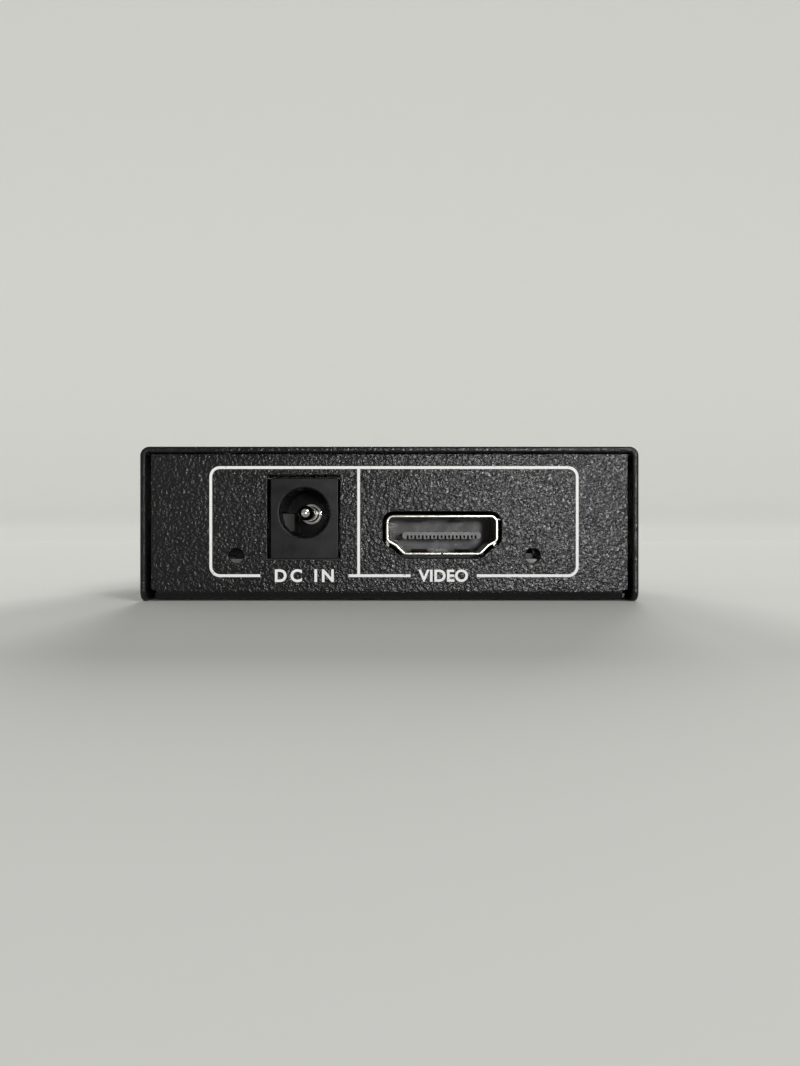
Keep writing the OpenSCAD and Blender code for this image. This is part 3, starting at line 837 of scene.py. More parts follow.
    def soften(self, radius: float, steps: int = 3) -> None:
        """Round every sharp edge.

        Args:
            radius: width of the rounding.
            steps: facets across it.
        """
        self.modify(
            "BEVEL",
            width=radius,
            segments=steps,
            limit_method="ANGLE",
            angle_limit=math.radians(BEVELLED),
            use_clamp_overlap=False,
        )

    def bond(self, *others: "Workpiece", how: Bond = Bond.CUT) -> None:
        """Cut other solids from this one, or weld them to it, and use them up.

        Args:
            others: the other solids.
            how: cut or weld.
        """
        for other in others:
            self.modify("BOOLEAN", operation=how.value, object=other.obj, solver="EXACT")
            bpy.data.objects.remove(other.obj)

    def absorb(self, *others: "Workpiece") -> None:
        """Join other meshes to this one.

        Args:
            others: the other workpieces.
        """
        self.focus()
        for other in others:
            other.obj.select_set(True)
        bpy.ops.object.join()

    def deliver(self, finish: Finish, slot: str, *nodes: str, body: str = CASE_BODY) -> None:
        """Shade the piece, bring it to metres and hand it to the frame.

        Args:
            finish: its finish.
            slot: a material slot's name; not used.
            nodes: CAD nodes that it stands for.
            body: CAD body that it rides on.
        """
        self.focus()
        bpy.ops.object.shade_smooth_by_angle(angle=math.radians(SMOOTH))
        self.modify("WEIGHTED_NORMAL", weight=100, keep_sharp=True)
        self.obj.scale = (MM, MM, MM)
        self.settle()
        self.obj.data.materials.clear()
        self.obj.data.materials.append(finish.material())
        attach(self.obj, body)
        if nodes:
            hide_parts(*nodes)
        log.info("%s: %d faces on %s", self.obj.name, len(self.obj.data.polygons), body)


@dataclass(frozen=True)
class PortPlace:
    """Place of a video port: start of its pieces' and nodes' names, its floor's front edge and its turn."""

    name: str
    node: str
    at: Point
    turn: float = 0.0


PORT_PLACES = (
    PortPlace("input", "input_port", (6.9, -27.4, 6.4)),
    PortPlace("output_1", "output_1", (13.5, 27.4, 6.4), 180.0),
    PortPlace("output_2", "output_2", (-13.5, 27.4, 6.4), 180.0),
)


@dataclass
class PortMouth:
    """Outline of a video port's mouth, standing in XZ with the middle of its floor at the origin."""

    width: float = 14.0
    height: float = 4.55
    floor: float = 9.75
    shoulder: float = 1.65
    bend_in: float = 1.05
    bend_h: float = 1.07
    lower_r: float = 0.45
    upper_r: float = 0.65

    def profile(self, grow: float) -> list[Vector]:
        """Give the right half of the outline, from the top's middle to the floor's middle.

        Args:
            grow: how far it stands outside the mouth, on every side.

        Returns:
            Its points in XZ.
        """
        half = self.width / 2
        line = [(0, self.height), (half, self.height), (half, self.shoulder)]
        line += [(half - self.bend_in, self.bend_h), (self.floor / 2, 0), (0, 0)]
        line = [Vector(point) for point in line]
        moved = [line[0] + Vector((0, grow))]
        for before, corner, after in zip(line, line[1:], line[2:]):
            outs = [Vector((-step.y, step.x)).normalized() for step in (corner - before, after - corner)]
            moved.append(corner + grow * (outs[0] + outs[1]) / (1 + outs[0].dot(outs[1])))
        return moved + [line[-1] - Vector((0, grow))]

    def sheet(self, name: str, grow: float) -> Workpiece:
        """Make the outline as one flat face towards the input side.

        Args:
            name: name of the piece.
            grow: how far it stands outside the mouth, on every side.

        Returns:
            The flat face.
        """
        line = self.profile(grow)
        top, side, bend, foot = line[1:5]
        piece = Workpiece.upright_sheet(name, (-side.x, 0, side.y), (side.x, 0, top.y))
        last = side
        for corner in (bend, foot):
            piece.pick(Pick.EDGES, lambda point: near(point.z, last.y))
            piece.extrude((0, 0, corner.y - last.y))
            piece.resize((corner.x / last.x, 1, 1), (0, 0, corner.y))
            last = corner
        piece.pick(Pick.EDGES, lambda point: near(point.z, side.y), lambda point: near(point.z, bend.y))
        bpy.ops.mesh.dissolve_edges(use_verts=False)
        for number, radius in ((1, self.upper_r), (2, self.lower_r), (4, self.lower_r)):
            corner = line[number]
            angle = (line[number - 1] - corner).angle(line[number + 1] - corner)
            piece.pick(Pick.VERTS, lambda point: near(point.z, corner.y) and near(abs(point.x), corner.x))
            piece.round_corners((radius + grow) / math.tan(angle / 2))
        return piece

    def solid(self, name: str, grow: float, start: float, end: float) -> Workpiece:
        """Make the outline as a prism along Y.

        Args:
            name: name of the piece.
            grow: how far it stands outside the mouth.
            start: where it begins.
            end: where it ends.

        Returns:
            The prism.
        """
        piece = self.sheet(name, grow)
        piece.pick_all()
        piece.extrude((0, end - start, 0))
        piece.put((0, start, 0))
        piece.face_outward()
        return piece


@dataclass
class VideoPort:
    """Plated shell of one video port, drawn round its mouth with grip fingers and solder legs."""

    port: PortPlace
    mouth: PortMouth = field(default_factory=PortMouth)
    wall: float = 0.35
    depth: float = 10.8
    floor_len: float = 8.0
    rim_r: float = 0.13
    seam: float = 0.12
    finger_w: float = 2.2
    finger_x: float = 2.9
    finger_slot: float = 0.3
    finger_path: tuple[Span, ...] = ((7.0, 0.0), (4.1, -0.35), (2.88, 0.0))
    window: Span = (2.4, 7.3)
    leg_y: Span = (3.4, 8.9)
    leg_w: float = 1.4
    leg_z: Span = (-3.5, 2.35)
    back_z: float = 3.25

    def finger(self) -> Workpiece:
        """Make one grip finger of the roof, at x = 0.

        Returns:
            The finger.
        """
        half = self.finger_w / 2
        level = self.mouth.height + self.wall / 2
        root = self.window[1] + 2 * self.finger_slot
        y, z = self.finger_path[0]
        strip = Workpiece.level_sheet("finger", (-half, y, level), (half, root, level))
        strip.pick(Pick.EDGES, lambda point: near(point.y, y))
        for next_y, next_z in self.finger_path[1:]:
            strip.extrude((0, next_y - y, next_z - z))
            y, z = next_y, next_z
        strip.thicken(self.wall, Wall.BOTH)
        return strip

    def windows(self) -> list[Workpiece]:
        """Make the cutters of the four finger windows and the seam.

        Returns:
            The cutters.
        """
        half = self.finger_w / 2 + self.finger_slot
        start, end = self.window
        cutters = [
            Workpiece.block(
                "window",
                (x - half, start, level - 2 * self.wall),
                (x + half, end, level + 2 * self.wall),
            )
            for x in (-self.finger_x, self.finger_x)
            for level in (0.0, self.mouth.height)
        ]
        seam = self.seam / 2
        past = self.depth + OVERRUN
        cutters.append(Workpiece.block("seam", (-seam, -OVERRUN, -OVERRUN), (seam, past, OVERRUN)))
        wide = self.mouth.width
        cutters.append(
            Workpiece.block(
                "open_floor", (-wide, self.floor_len, -OVERRUN), (wide, past, self.mouth.shoulder)
            )
        )
        return cutters

    def additions(self) -> list[Workpiece]:
        """Make what is welded to the sleeve: fingers, back plate and legs.

        Returns:
            The solids.
        """
        solids = []
        first = self.finger()
        for x in (-self.finger_x, self.finger_x):
            for below in (False, True):
                copy = first.copy("finger_copy")
                if below:
                    copy.mirror(2, self.mouth.height / 2)
                copy.put((x, 0, 0))
                solids.append(copy)
        bpy.data.objects.remove(first.obj)
        plate = self.mouth.solid("back_plate", self.wall / 2, self.depth - self.wall, self.depth)
        plate.pick_all()
        plate.bisect((0, 0, self.back_z), (0, 0, -1), drop_front=True, fill=True)
        solids.append(plate)
        middle = (self.mouth.width + self.wall) / 2
        for x in (-middle, middle):
            for y in self.leg_y:
                half = Vector((self.wall, self.leg_w, 0)) / 2
                low = Vector((x, y, self.leg_z[0])) - half
                solids.append(Workpiece.block("leg", low, Vector((x, y, self.leg_z[1])) + half))
        return solids

    def build(self) -> None:
        """Make the shell and put it in its panel."""
        shell = self.mouth.sheet(f"{self.port.name}_shell_plate", 0.0)
        shell.pick_all()
        shell.extrude((0, self.depth, 0))
        shell.pick(Pick.FACES, lambda point: near(point.y, 0), lambda point: near(point.y, self.depth))
        shell.delete_faces()
        shell.face_outward()
        shell.thicken(self.wall, Wall.OUTWARD)
        shell.bond(*self.windows())
        shell.soften(self.rim_r)
        shell.bond(*self.additions(), how=Bond.WELD)
        shell.put(self.port.at, (0, 0, self.port.turn))
        shell.deliver(NICKEL, "plated_shell", f"{self.port.node}_shell")


@dataclass
class PortInsert:
    """Insulator of a video port, with a comb cut into the tip of its tongue."""

    port: PortPlace
    slots: int = 19
    pitch: float = 0.5
    slot_low: Point = (-0.13, 1.4, 1.6)
    slot_high: Point = (0.13, 2.8, 2.22)

    def comb(self) -> Workpiece:
        """Make the cutter of the comb, for a port at the origin.

        Returns:
            The cutter.
        """
        first = Workpiece.block("slot", self.slot_low, self.slot_high)
        others = [first.copy("slot_copy") for _ in range(1, self.slots)]
        for index, slot in enumerate(others, 1):
            slot.put((index * self.pitch, 0, 0))
        first.absorb(*others)
        first.put(((1 - self.slots) * self.pitch / 2, 0, 0))
        return first

    def build(self) -> None:
        """Cut the comb and hand the insulator over."""
        node = f"{self.port.node}_insulator"
        insert = Workpiece.from_node(f"{self.port.name}_insert", node)
        comb = self.comb()
        comb.put(self.port.at, (0, 0, self.port.turn))
        insert.bond(comb)
        insert.deliver(PORT_RESIN_PAINTED_SHADE, "port_resin", node)


@dataclass
class TopCover:
    """Cover: one sheet folded down at both sides, with countersinks for its screws."""

    width: float = 65.0
    depth: float = 56.0
    height: float = 20.2
    sheet: float = 0.8
    fold_r: float = 1.2
    corner_r: float = 1.4
    edge_r: float = 0.3
    screw_y: float = 16.0
    screw_z: float = 10.0
    sink_r: float = 1.95
    sink_over: float = 0.2

    def countersinks(self) -> list[Workpiece]:
        """Make the cutters of the four countersinks.

        Returns:
            The cutters.
        """
        half, reach = self.width / 2, self.sheet + self.sink_over
        return Workpiece.side_rods(
            "countersink",
            half + self.sink_over,
            half - reach,
            self.screw_y,
            self.screw_z,
            self.sink_r + self.sink_over,
            end_radius=self.sink_r - reach,
        )

    def build(self) -> None:
        """Fold the sheet and pierce it."""
        half, end = self.width / 2, self.depth / 2
        cover = Workpiece.level_sheet("cover_sheet", (-half, -end, self.height), (half, end, self.height))
        for side in (-half, half):
            cover.pick(Pick.EDGES, lambda point: near(point.x, side))
            cover.extrude((0, 0, -self.height))
            cover.pick(Pick.EDGES, lambda point: near(point.x, side) and near(point.z, self.height))
            cover.round_edges(self.fold_r, steps=8)
        cover.pick(Pick.VERTS, lambda point: near(point.z, 0))
        cover.round_corners(self.corner_r)
        cover.face_outward()
        cover.thicken(self.sheet)
        cover.soften(self.edge_r, steps=4)
        cover.bond(*self.countersinks())
        cover.deliver(COAT, "coated_steel", "top_cover")


@dataclass
class Chassis:
    """Chassis: base with both panels and four screw tabs folded up from one sheet."""

    width: float = 62.6
    depth: float = 54.4
    underside: float = 0.2
    top: float = 19.34
    sheet: float = 0.8
    fold_r: float = 1.2
    fold_end: float = 1.4
    fold_corner: float = 0.4
    ear: float = 0.7
    relief_y: float = 25.5
    slit: float = 0.8
    slit_depth: float = 0.7
    tab_x: float = 31.65
    tab_y: float = 16.0
    tab_w: float = 8.0
    tab_top: float = 13.2
    tab_corner: float = 1.5
    screw_z: float = 10.0
    thread_r: float = 1.05
    thread_len: float = 3.0
    collar_r: float = 1.6
    collar_len: float = 0.9
    edge_r: float = 0.13
    cut_edge_r: float = 0.1
    cut_margin: float = 3.0
    cut_low: float = 3.0
    spigot: tuple[float, float, float] = (26.05, 22.0, 1.85)
    lamp_r: float = 1.0
    lamp_z: float = 5.95
    front_lamps: Span = (-20.1, 18.8)
    rear_lamps: Span = (-3.0, 3.0)
    jack_low: Span = (-16.02, 5.45)
    jack_high: Span = (-6.48, 16.55)
    port_grow: float = 0.8
    mouth: PortMouth = field(default_factory=PortMouth)
    ports: tuple[PortPlace, ...] = PORT_PLACES

    @staticmethod
    def pick_spans(base: Workpiece, x: float, spans: list[Span]) -> None:
        """Select edges of the base at one side.

        Args:
            base: the sheet so far.
            x: the side's place.
            spans: where the edges begin and end along Y.
        """
        tests = [lambda point, a=a, b=b: near(point.x, x) and within(point.y, a, b) for a, b in spans]
        base.pick(Pick.EDGES, *tests)

    def fold_base(self) -> Workpiece:
        """Draw the base and fold its tabs.

        Returns:
            The sheet so far.
        """
        flat, end, low = self.width / 2 - self.ear, self.depth / 2, self.underside
        inner, outer = self.tab_y - self.tab_w / 2, self.tab_y + self.tab_w / 2
        base = Workpiece.level_sheet("chassis_sheet", (-flat, -end, low), (flat, end, low))
        for y in (inner - self.slit, inner, outer, outer + self.slit, self.relief_y):
            for at in (-y, y):
                base.pick_all()
                base.bisect((0, at, 0), (0, 1, 0))
        root = flat - self.slit_depth
        for at in (-root, root):
            base.pick_all()
            base.bisect((at, 0, 0), (1, 0, 0))
        slits = [
            lambda point, a=a, s=s: s * point.x > root - CLOSE and within(point.y, a, a + self.slit)
            for a in (-outer - self.slit, -inner, inner - self.slit, outer)
            for s in (-1, 1)
        ]
        base.pick(Pick.FACES, *slits)
        base.delete_faces()
        ears = [
            (-self.relief_y, -outer - self.slit),
            (self.slit - inner, inner - self.slit),
            (outer + self.slit, self.relief_y),
        ]
        tabs = [(-outer, -inner), (inner, outer)]
        for side in (-1, 1):
            self.pick_spans(base, side * flat, ears)
            base.extrude((side * self.ear, 0, 0))
            self.pick_spans(base, side * flat, tabs)
            base.extrude((side * (self.tab_x - flat), 0, 0), (0, 0, self.tab_top - low))
            base.pick(Pick.EDGES, lambda point: near(point.x, side * self.tab_x) and near(point.z, low))
            base.round_edges(self.tab_x - flat, steps=6)
        base.pick(Pick.VERTS, lambda point: near(point.z, self.tab_top))
        base.round_corners(self.tab_corner)
        return base

    def fold_panels(self, base: Workpiece) -> None:
        """Fold both panels up from the base.

        Args:
            base: the sheet so far.
        """
        flat, low = self.width / 2 - self.ear, self.underside
        for end in (-self.depth / 2, self.depth / 2):
            base.pick(Pick.EDGES, lambda point: near(point.y, end) and near(point.z, low))
            base.extrude((0, 0, self.fold_end - low), (0, 0, self.top - self.fold_end))
            for side in (-1, 1):
                base.pick(
                    Pick.EDGES,
                    lambda point: near(point.x, side * flat)
                    and near(point.y, end)
                    and point.z > self.fold_end - CLOSE,
                )
                base.extrude((side * self.ear, 0, 0))
            base.pick(
                Pick.VERTS,
                lambda point: near(abs(point.x), self.width / 2)
                and near(point.y, end)
                and near(point.z, self.fold_end),
            )
            base.round_corners(self.fold_corner)
            base.pick(Pick.EDGES, lambda point: near(point.y, end) and near(point.z, low))
            base.round_edges(self.fold_r, steps=8)

    def collars(self) -> list[Workpiece]:
        """Make the drawn collars behind the tabs' screw holes.

        Returns:
            The solids.
        """
        start = self.tab_x - self.sheet / 2
        end = self.tab_x - self.sheet - self.collar_len
        return Workpiece.side_rods("collar", start, end, self.tab_y, self.screw_z, self.collar_r)

    def panel_cutters(self) -> list[Workpiece]:
        """Make the cutters of the panels' openings.

        Returns:
            The cutters.
        """
        end = self.depth / 2
        back = end - self.sheet
        cutters = []
        for port in self.ports:
            cutter = self.mouth.solid("port_cutter", self.port_grow, -OVERRUN, self.sheet + OVERRUN)
            cutter.put(port.at, (0, 0, port.turn))
            cutters.append(cutter)
        (x0, z0), (x1, z1) = self.jack_low, self.jack_high
        cutters.append(Workpiece.block("jack_cutter", (x0, -end - OVERRUN, z0), (x1, OVERRUN - back, z1)))
        z = self.lamp_z
        for side, lamps in ((-1, self.front_lamps), (1, self.rear_lamps)):
            outer, inner = side * (end + OVERRUN), side * (back - OVERRUN)
            cutters += [
                Workpiece.rod("lamp_cutter", (x, outer, z), (x, inner, z), self.lamp_r, sides=40)
                for x in lamps
            ]
        return cutters

    def base_cutters(self) -> list[Workpiece]:
        """Make the cutters of the standoff holes and the screw threads.

        Returns:
            The cutters.
        """
        x, y, radius = self.spigot
        low, high = -OVERRUN, self.underside + self.sheet + OVERRUN
        holes = [
            Workpiece.rod("spigot_cutter", (side * x, at, low), (side * x, at, high), radius, sides=48)
            for side, at in four_places(y)
        ]
        outer, inner = self.tab_x + OVERRUN, self.tab_x - self.thread_len
        return holes + Workpiece.side_rods(
            "thread_cutter", outer, inner, self.tab_y, self.screw_z, self.thread_r, sides=40
        )

    def build(self) -> None:
        """Fold the sheet, thicken it and pierce it."""
        sheet = self.fold_base()
        self.fold_panels(sheet)
        sheet.face_outward()
        mesh = sheet.edit()
        if any(face.normal.z > LEVEL for face in mesh.faces):
            sheet.pick_all()
            bpy.ops.mesh.flip_normals()
        sheet.thicken(self.sheet)
        sheet.bond(*self.collars(), how=Bond.WELD)
        sheet.soften(self.edge_r)
        sheet.bond(*self.panel_cutters(), *self.base_cutters())
        inside, back = self.width / 2 - self.cut_margin, self.depth / 2 - self.sheet
        sheet.pick(
            Pick.EDGES,
            lambda point: abs(point.y) > back - CLOSE and abs(point.x) < inside and point.z > self.cut_low,
            sharp=CREASE,
        )
        sheet.round_edges(self.cut_edge_r, steps=2)
        sheet.deliver(COAT, "coated_steel", "chassis")


@dataclass
class CoverScrews:
    """Four countersunk screws with a cross recess, flush in the cover's walls."""

    x: float = 32.5
    y: float = 16.0
    z: float = 10.0
    head_r: float = 1.9
    head_h: float = 0.8
    shank_r: float = 1.0
    length: float = 4.0
    tip_len: float = 0.4
    tip_taper: float = 0.7
    wing: tuple[float, float, float] = (0.45, 2.1, 0.5)
    wing_rise: float = 0.5
    wing_taper: float = 0.6
    edge_r: float = 0.06
    crease: float = 40.0
    first_turn: float = 20.0
    next_turn: float = 37.0

    def screw(self) -> Workpiece:
        """Make one screw along Z, its head's face at the origin.

        Returns:
            The screw.
        """
        neck = self.head_r - self.head_h
        screw = Workpiece.rod("screw", (0, 0, -self.head_h), (0, 0, 0), neck, self.head_r, sides=48)
        screw.pick(Pick.FACES, lambda point: near(point.z, -self.head_h))
        screw.resize((self.shank_r / neck, self.shank_r / neck, 1), (0, 0, -self.head_h))
        screw.extrude((0, 0, self.head_h - self.length + self.tip_len), (0, 0, -self.tip_len))
        screw.resize((self.tip_taper, self.tip_taper, 1), (0, 0, -self.length))
        wide, long, deep = self.wing
        for x, y in ((wide / 2, long / 2), (long / 2, wide / 2)):
            cutter = Workpiece.block("wing", (-x, -y, -deep), (x, y, self.wing_rise))
            cutter.pick(Pick.FACES, lambda point: near(point.z, -deep))
            cutter.resize((self.wing_taper, self.wing_taper, 1), (0, 0, -deep))
            screw.bond(cutter)
        screw.pick(Pick.EDGES, lambda point: near(point.z, 0), sharp=self.crease)
        screw.round_edges(self.edge_r, steps=2)
        return screw

    def build(self) -> None:
        """Make the screw once and copy it to its four places."""
        first = self.screw()
        for number, (side, y) in enumerate(four_places(self.y), 1):
            copy = first.copy(f"cover_screw_{number}")
            copy.put(turn=(0, 0, self.first_turn + self.next_turn * number))
            copy.put((side * self.x, y, self.z), (0, side * 90, 0))
            copy.deliver(BLACK_ZINC, "screw_steel", "cover_screws")
        bpy.data.objects.remove(first.obj)


@dataclass
class JackBody:
    """Moulded housing of the barrel jack, with its socket and the leaf's slot."""

    x: float = -11.25
    face_y: float = -26.3
    foot_z: float = 5.5
    width: float = 9.0
    height: float = 10.7
    flange: float = 3.2
    axis_h: float = 6.1
    back: float = 11.2
    depth: float = 14.2
    barrel_r: float = 4.4
    cheek: Span = (2.2, 6.7)
    socket_r: float = 3.25
    socket_depth: float = 9.6
    neck_r: float = 0.8
    rim: float = 0.25
    corner_r: float = 0.3
    edge_r: float = 0.12
    slot_low: Point = (-9.0, 3.375, 3.5)
    slot_high: Point = (-1.975, 11.0, 6.3)

    def mass(self) -> Workpiece:
        """Make the outer form: flange, foot block, barrel and cheeks.

        Returns:
            The solid.
        """
        half = self.width / 2
        body = Workpiece.block("jack_body", (-half, 0, 0), (half, self.flange, self.height))
        for corner in (-half, half):
            for level in (0, self.height):
                body.pick(Pick.EDGES, lambda point: near(point.x, corner) and near(point.z, level))
                body.round_edges(self.corner_r)
        foot = Workpiece.block("foot", (-half, self.edge_r * 2, 0.0), (half, self.back, self.axis_h))
        barrel = Workpiece.rod(
            "barrel", (0, OVERRUN, self.axis_h), (0, self.back, self.axis_h), self.barrel_r
        )
        wide, high = self.cheek
        cheeks = [
            Workpiece.block("cheek", (left, self.back - OVERRUN, 0), (right, self.depth, high))
            for left, right in ((-half, wide - half), (half - wide, half))
        ]
        body.bond(foot, barrel, *cheeks, how=Bond.WELD)
        return body

    def build(self) -> None:
        """Mould the body, bore it and put it on the board."""
        body = self.mass()
        body.pick(Pick.EDGES, lambda point: near(point.y, 0), sharp=CREASE)
        body.round_edges(self.edge_r, steps=3)
        level = self.axis_h
        socket = Workpiece.rod(
            "socket", (0, -OVERRUN, level), (0, self.socket_depth, level), self.socket_r, sides=96
        )
        neck = Workpiece.rod(
            "neck", (0, OVERRUN, level), (0, self.depth + OVERRUN, level), self.neck_r, sides=32
        )
        slot = Workpiece.block("slot", self.slot_low, self.slot_high)
        body.bond(socket, neck, slot)
        body.pick(
            Pick.EDGES,
            lambda point: near(point.y, 0) and near(math.hypot(point.x, point.z - level), self.socket_r),
            sharp=CREASE,
        )
        body.round_edges(self.rim, steps=3)
        body.put((self.x, self.face_y, self.foot_z))
        body.deliver(JACK_RESIN_PAINTED_SHADE, "jack_resin", "power_jack_housing")


@dataclass
class JackPin:
    """Turned centre pin of the jack: domed tip, flange with a grooved face, neck and rivet."""

    place: Point = (-11.25, -26.3, 11.6)
    radius: float = 1.0
    setback: float = 0.9
    root: float = 9.6
    tip: float = 0.1
    flange: Span = (1.5, 0.4)
    rim: float = 0.18
    groove: Span = (0.17, 0.3)
    neck_r: float = 0.75
    rivet: Span = (1.3, 0.4)
    rivet_y: float = 11.45
    edge_r: float = 0.07
    rings: int = 8

    def shaft(self, pin: Workpiece) -> None:
        """Draw the shaft and its dome out of the flange's face and groove the face.

        Args:
            pin: the flange so far.
        """
        face = self.root - self.flange[1]
        pin.pick(Pick.FACES, lambda point: near(point.y, face))
        outer = self.flange[0] - self.rim
        inner = outer - self.groove[0]
        for step in (self.rim, self.groove[0], inner - self.radius):
            bpy.ops.mesh.inset(thickness=step)
        pin.extrude((0, self.setback + self.radius - face, 0))
        depth, width = 0.0, self.radius
        for ring in range(1, self.rings):
            angle = math.pi / 2 * ring / self.rings
            high, wide = self.radius * math.sin(angle), self.radius * math.cos(angle)
            pin.extrude((0, depth - high, 0))
            pin.resize((wide / width, 1, wide / width), (0, 0, 0))
            depth, width = high, wide
        pin.extrude((0, depth - self.radius, 0))
        pin.resize((self.tip, 1, self.tip), (0, 0, 0))
        pin.pick(
            Pick.FACES,
            lambda point: near(point.y, face) and within(math.hypot(point.x, point.z), inner, outer),
        )
        pin.extrude((0, self.groove[1], 0))

    def build(self) -> None:
        """Turn the pin and put it in its socket."""
        radius, thick = self.flange
        pin = Workpiece.rod("jack_pin_turned", (0, self.root - thick, 0), (0, self.root, 0), radius, sides=72)
        self.shaft(pin)
        pin.pick(Pick.FACES, lambda point: near(point.y, self.root))
        bpy.ops.mesh.inset(thickness=radius - self.neck_r)
        pin.extrude((0, self.rivet_y - self.root, 0), (0, 0, 0))
        grow = self.rivet[0] / self.neck_r
        pin.resize((grow, 1, grow), (0, 0, 0))
        pin.extrude((0, self.rivet[1], 0))
        face = self.root - thick
        pin.pick(Pick.EDGES, lambda point: near(point.y, face), sharp=CREASE)
        pin.round_edges(self.edge_r, steps=3)
        pin.put(self.place)
        pin.face_outward()
        pin.deliver(JACK_PLATE, "jack_plate", "power_jack_pin")


@dataclass
class PanelPrint:
    """White frame, divider and words on the input panel."""

    face_y: float = -27.2
    low: Span = (-23.4, 3.34)
    high: Span = (24.6, 17.5)
    line: float = 0.36
    corner_r: float = 1.2
    divider_x: float = -4.03
    gaps: tuple[Span, ...] = ((-16.92, -5.35), (2.76, 11.45))
    words: tuple[tuple[str, float, float, float], ...] = (
        ("DC IN", -11.15, 1.7, 1.38),
        ("VIDEO", 7.1, 1.62, 1.04),
    )
    film: float = 0.03
    bold: float = 0.028

    def lines(self) -> Workpiece:
        """Make the frame's lines and the divider.

        Returns:
            The lines as a thin film.
        """
        half = self.line / 2
        (x0, z0), (x1, z1) = self.low, self.high
        frame_line = Workpiece.upright_sheet(
            "panel_lines", (x0 - half, self.face_y, z0 - half), (x1 + half, self.face_y, z1 + half)
        )
        frame_line.pick(Pick.VERTS, lambda point: True)
        frame_line.round_corners(self.corner_r + half, steps=8)
        frame_line.pick_all()
        bpy.ops.mesh.inset(thickness=self.line, use_even_offset=True)
        frame_line.delete_faces()
        for gap in self.gaps:
            for x in gap:
                frame_line.pick(Pick.FACES, lambda point: point.z < z0 + 2 * self.line)
                frame_line.bisect((x, 0, 0), (1, 0, 0))
            frame_line.pick(Pick.FACES, lambda point: point.z < z0 + self.line and within(point.x, *gap))
            frame_line.delete_faces()
        divider = Workpiece.upright_sheet(
            "divider",
            (self.divider_x - half, self.face_y, z0 + half),
            (self.divider_x + half, self.face_y, z1 - half),
        )
        frame_line.absorb(divider)
        frame_line.thicken(self.film, Wall.OUTWARD)
        return frame_line

    def word(self, text: str, x: float, height: float, tracking: float) -> Workpiece:
        """Make one word, centred on the frame's lower line.

        Args:
            text: the word.
            x: its middle.
            height: height of its capitals.
            tracking: factor of the spacing between its letters.

        Returns:
            The word as a thin film.
        """
        Workpiece.clear()
        bpy.ops.object.text_add()
        letters = bpy.context.object.data
        letters.body = text
        letters.align_x = "CENTER"
        letters.offset = self.bold
        letters.space_character = tracking
        letters.extrude = self.film / 2
        bpy.ops.object.convert(target="MESH")
        piece = Workpiece.take(f"word_{x:.0f}")
        rows = [vertex.co.y for vertex in piece.obj.data.vertices]
        factor = height / (max(rows) - min(rows))
        middle = (max(rows) + min(rows)) / 2 * factor
        piece.obj.scale = (factor, factor, 1)
        piece.put((x, self.face_y - self.film / 2, self.low[1] - middle), (90, 0, 0))
        piece.pick_all()
        bpy.ops.mesh.remove_doubles(threshold=MERGE)
        return piece

    def build(self) -> None:
        """Print the lines and the words."""
        lines = self.lines()
        lines.absorb(*[self.word(*entry) for entry in self.words])
        lines.obj.name = lines.obj.data.name = "panel_print"
        lines.deliver(INK, "coated_steel")


@dataclass
class InnerParts:
    """CAD nodes that keep their shape and get a finish."""

    finishes: tuple[tuple[Finish, tuple[str, ...]], ...] = (
        (ZINC, ("board_standoffs", "board_screws")),
        (LAMINATE, ("circuit_board",)),
        (GILT_PAINTED_SHADE, ("input_port_contacts", "output_1_contacts", "output_2_contacts")),
        (JACK_PLATE, ("power_jack_pin_terminal",)),
        (SPRING_PLATE, ("power_jack_spring", "power_jack_sleeve_terminal", "power_jack_switch_contact")),
        (LENS, ("power_led", "input_led", "output_leds")),
        (CHIP_RESIN, ("splitter_chip", "memory_chip", "voltage_regulator")),
        (FERRITE, ("power_inductor",)),
        (CAN, ("crystal", "bulk_capacitors")),
        (CERAMIC, ("chip_capacitors",)),
        (RESISTOR, ("chip_resistors",)),
    )

    def dress(self) -> None:
        """Give every kept node its finish."""
        for finish, nodes in self.finishes:
            for node in nodes:
                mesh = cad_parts[node].data
                mesh.materials.clear()
                mesh.materials.append(finish.material())
                log.info("%s: %s", node, finish.name)


@dataclass
class Lamp:
    """One distant soft light: where it stands as seen from the object, in degrees, and its strength."""

    name: str
    azimuth: float
    elevation: float
    strength: float
    spread: float

    def build(self) -> None:
        """Hang the light and aim it at the object."""
        light = bpy.data.lights.new(self.name, "SUN")
        light.energy = self.strength
        light.angle = math.radians(self.spread)
        holder = bpy.data.objects.new(self.name, light)
        around, up = math.radians(self.azimuth), math.radians(self.elevation)
        towards = Vector((math.sin(around) * math.cos(up), -math.cos(around) * math.cos(up), math.sin(up)))
        holder.location = towards
        holder.rotation_euler = towards.to_track_quat("Z", "Y").to_euler()
        bpy.context.scene.collection.objects.link(holder)


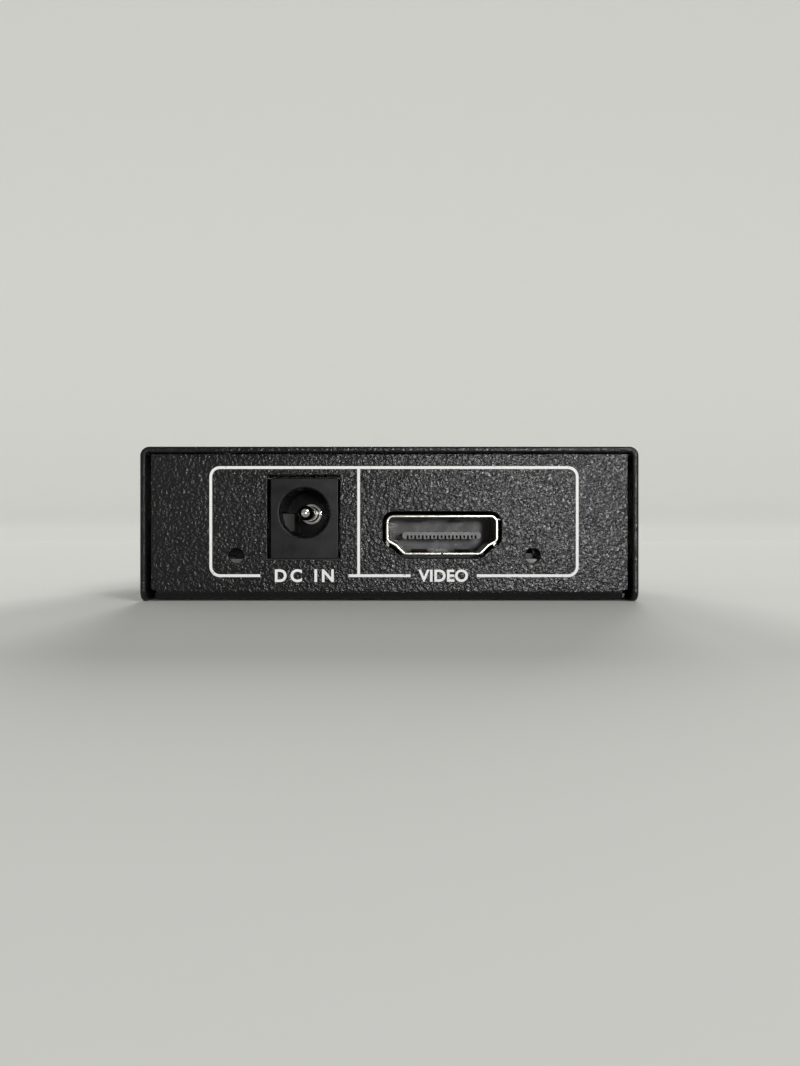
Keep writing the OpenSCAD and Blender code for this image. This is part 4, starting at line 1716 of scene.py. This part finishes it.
@dataclass
class Studio:
    """Pale sweep, soft lights and the camera, in metres."""

    sweep_x: float = 2.0
    sweep_front: float = -1.0
    sweep_back: float = 1.2
    sweep_top: float = 1.6
    sweep_r: float = 0.6
    sky: float = 0.26
    camera_at: Point = (0.001385, -0.143, 0.00893)
    focal: float = 29.85
    film: float = 36.0
    near_clip: float = 0.001
    lamps: tuple[Lamp, ...] = (
        Lamp("front", 10.8, 4.0, 1.15, 8.0),
        Lamp("key", 38.0, 38.0, 0.8, 20.0),
        Lamp("back_right", 166.0, 14.0, 2.8, 16.0),
        Lamp("back_left", 186.0, 14.0, 2.6, 16.0),
    )

    def sweep(self) -> None:
        """Make the floor, curved up into the backdrop."""
        paper = Workpiece.level_sheet(
            "paper_sweep", (-self.sweep_x, self.sweep_front, 0), (self.sweep_x, self.sweep_back, 0)
        )
        paper.pick(Pick.EDGES, lambda point: near(point.y, self.sweep_back))
        paper.extrude((0, 0, self.sweep_top))
        paper.pick(Pick.EDGES, lambda point: near(point.y, self.sweep_back) and near(point.z, 0))
        paper.round_edges(self.sweep_r, steps=24)
        paper.focus()
        bpy.ops.object.shade_smooth()
        paper.obj.data.materials.append(SWEEP.material())
        paper.obj.visible_shadow = False

    def daylight(self) -> None:
        """Light everything evenly from all round."""
        world = bpy.data.worlds.new("room")
        world.use_nodes = True
        background = world.node_tree.nodes["Background"]
        background.inputs["Color"].default_value = (1.0, 1.0, 1.0, 1.0)
        background.inputs["Strength"].default_value = self.sky
        bpy.context.scene.world = world

    def camera(self) -> None:
        """Set the camera level, square to the input panel."""
        data = bpy.data.cameras.new("camera")
        data.sensor_width = self.film
        data.lens = self.focal
        data.clip_start = self.near_clip
        holder = bpy.data.objects.new("camera", data)
        holder.location = self.camera_at
        holder.rotation_euler = (math.pi / 2, 0, 0)
        bpy.context.scene.collection.objects.link(holder)
        bpy.context.scene.camera = holder

    def build(self) -> None:
        """Set up the whole studio."""
        bpy.context.scene.view_settings.view_transform = "Standard"
        self.sweep()
        self.daylight()
        self.camera()
        for lamp in self.lamps:
            lamp.build()


def main() -> None:
    """Build the object's pieces in order, then the studio."""
    logging.basicConfig(level=logging.INFO, format="%(message)s")
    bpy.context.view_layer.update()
    Chassis().build()
    TopCover().build()
    CoverScrews().build()
    for part in (VideoPort, PortInsert):
        for port in PORT_PLACES:
            part(port).build()
    JackBody().build()
    JackPin().build()
    PanelPrint().build()
    InnerParts().dress()
    Studio().build()


if __name__ == "__main__":
    main()
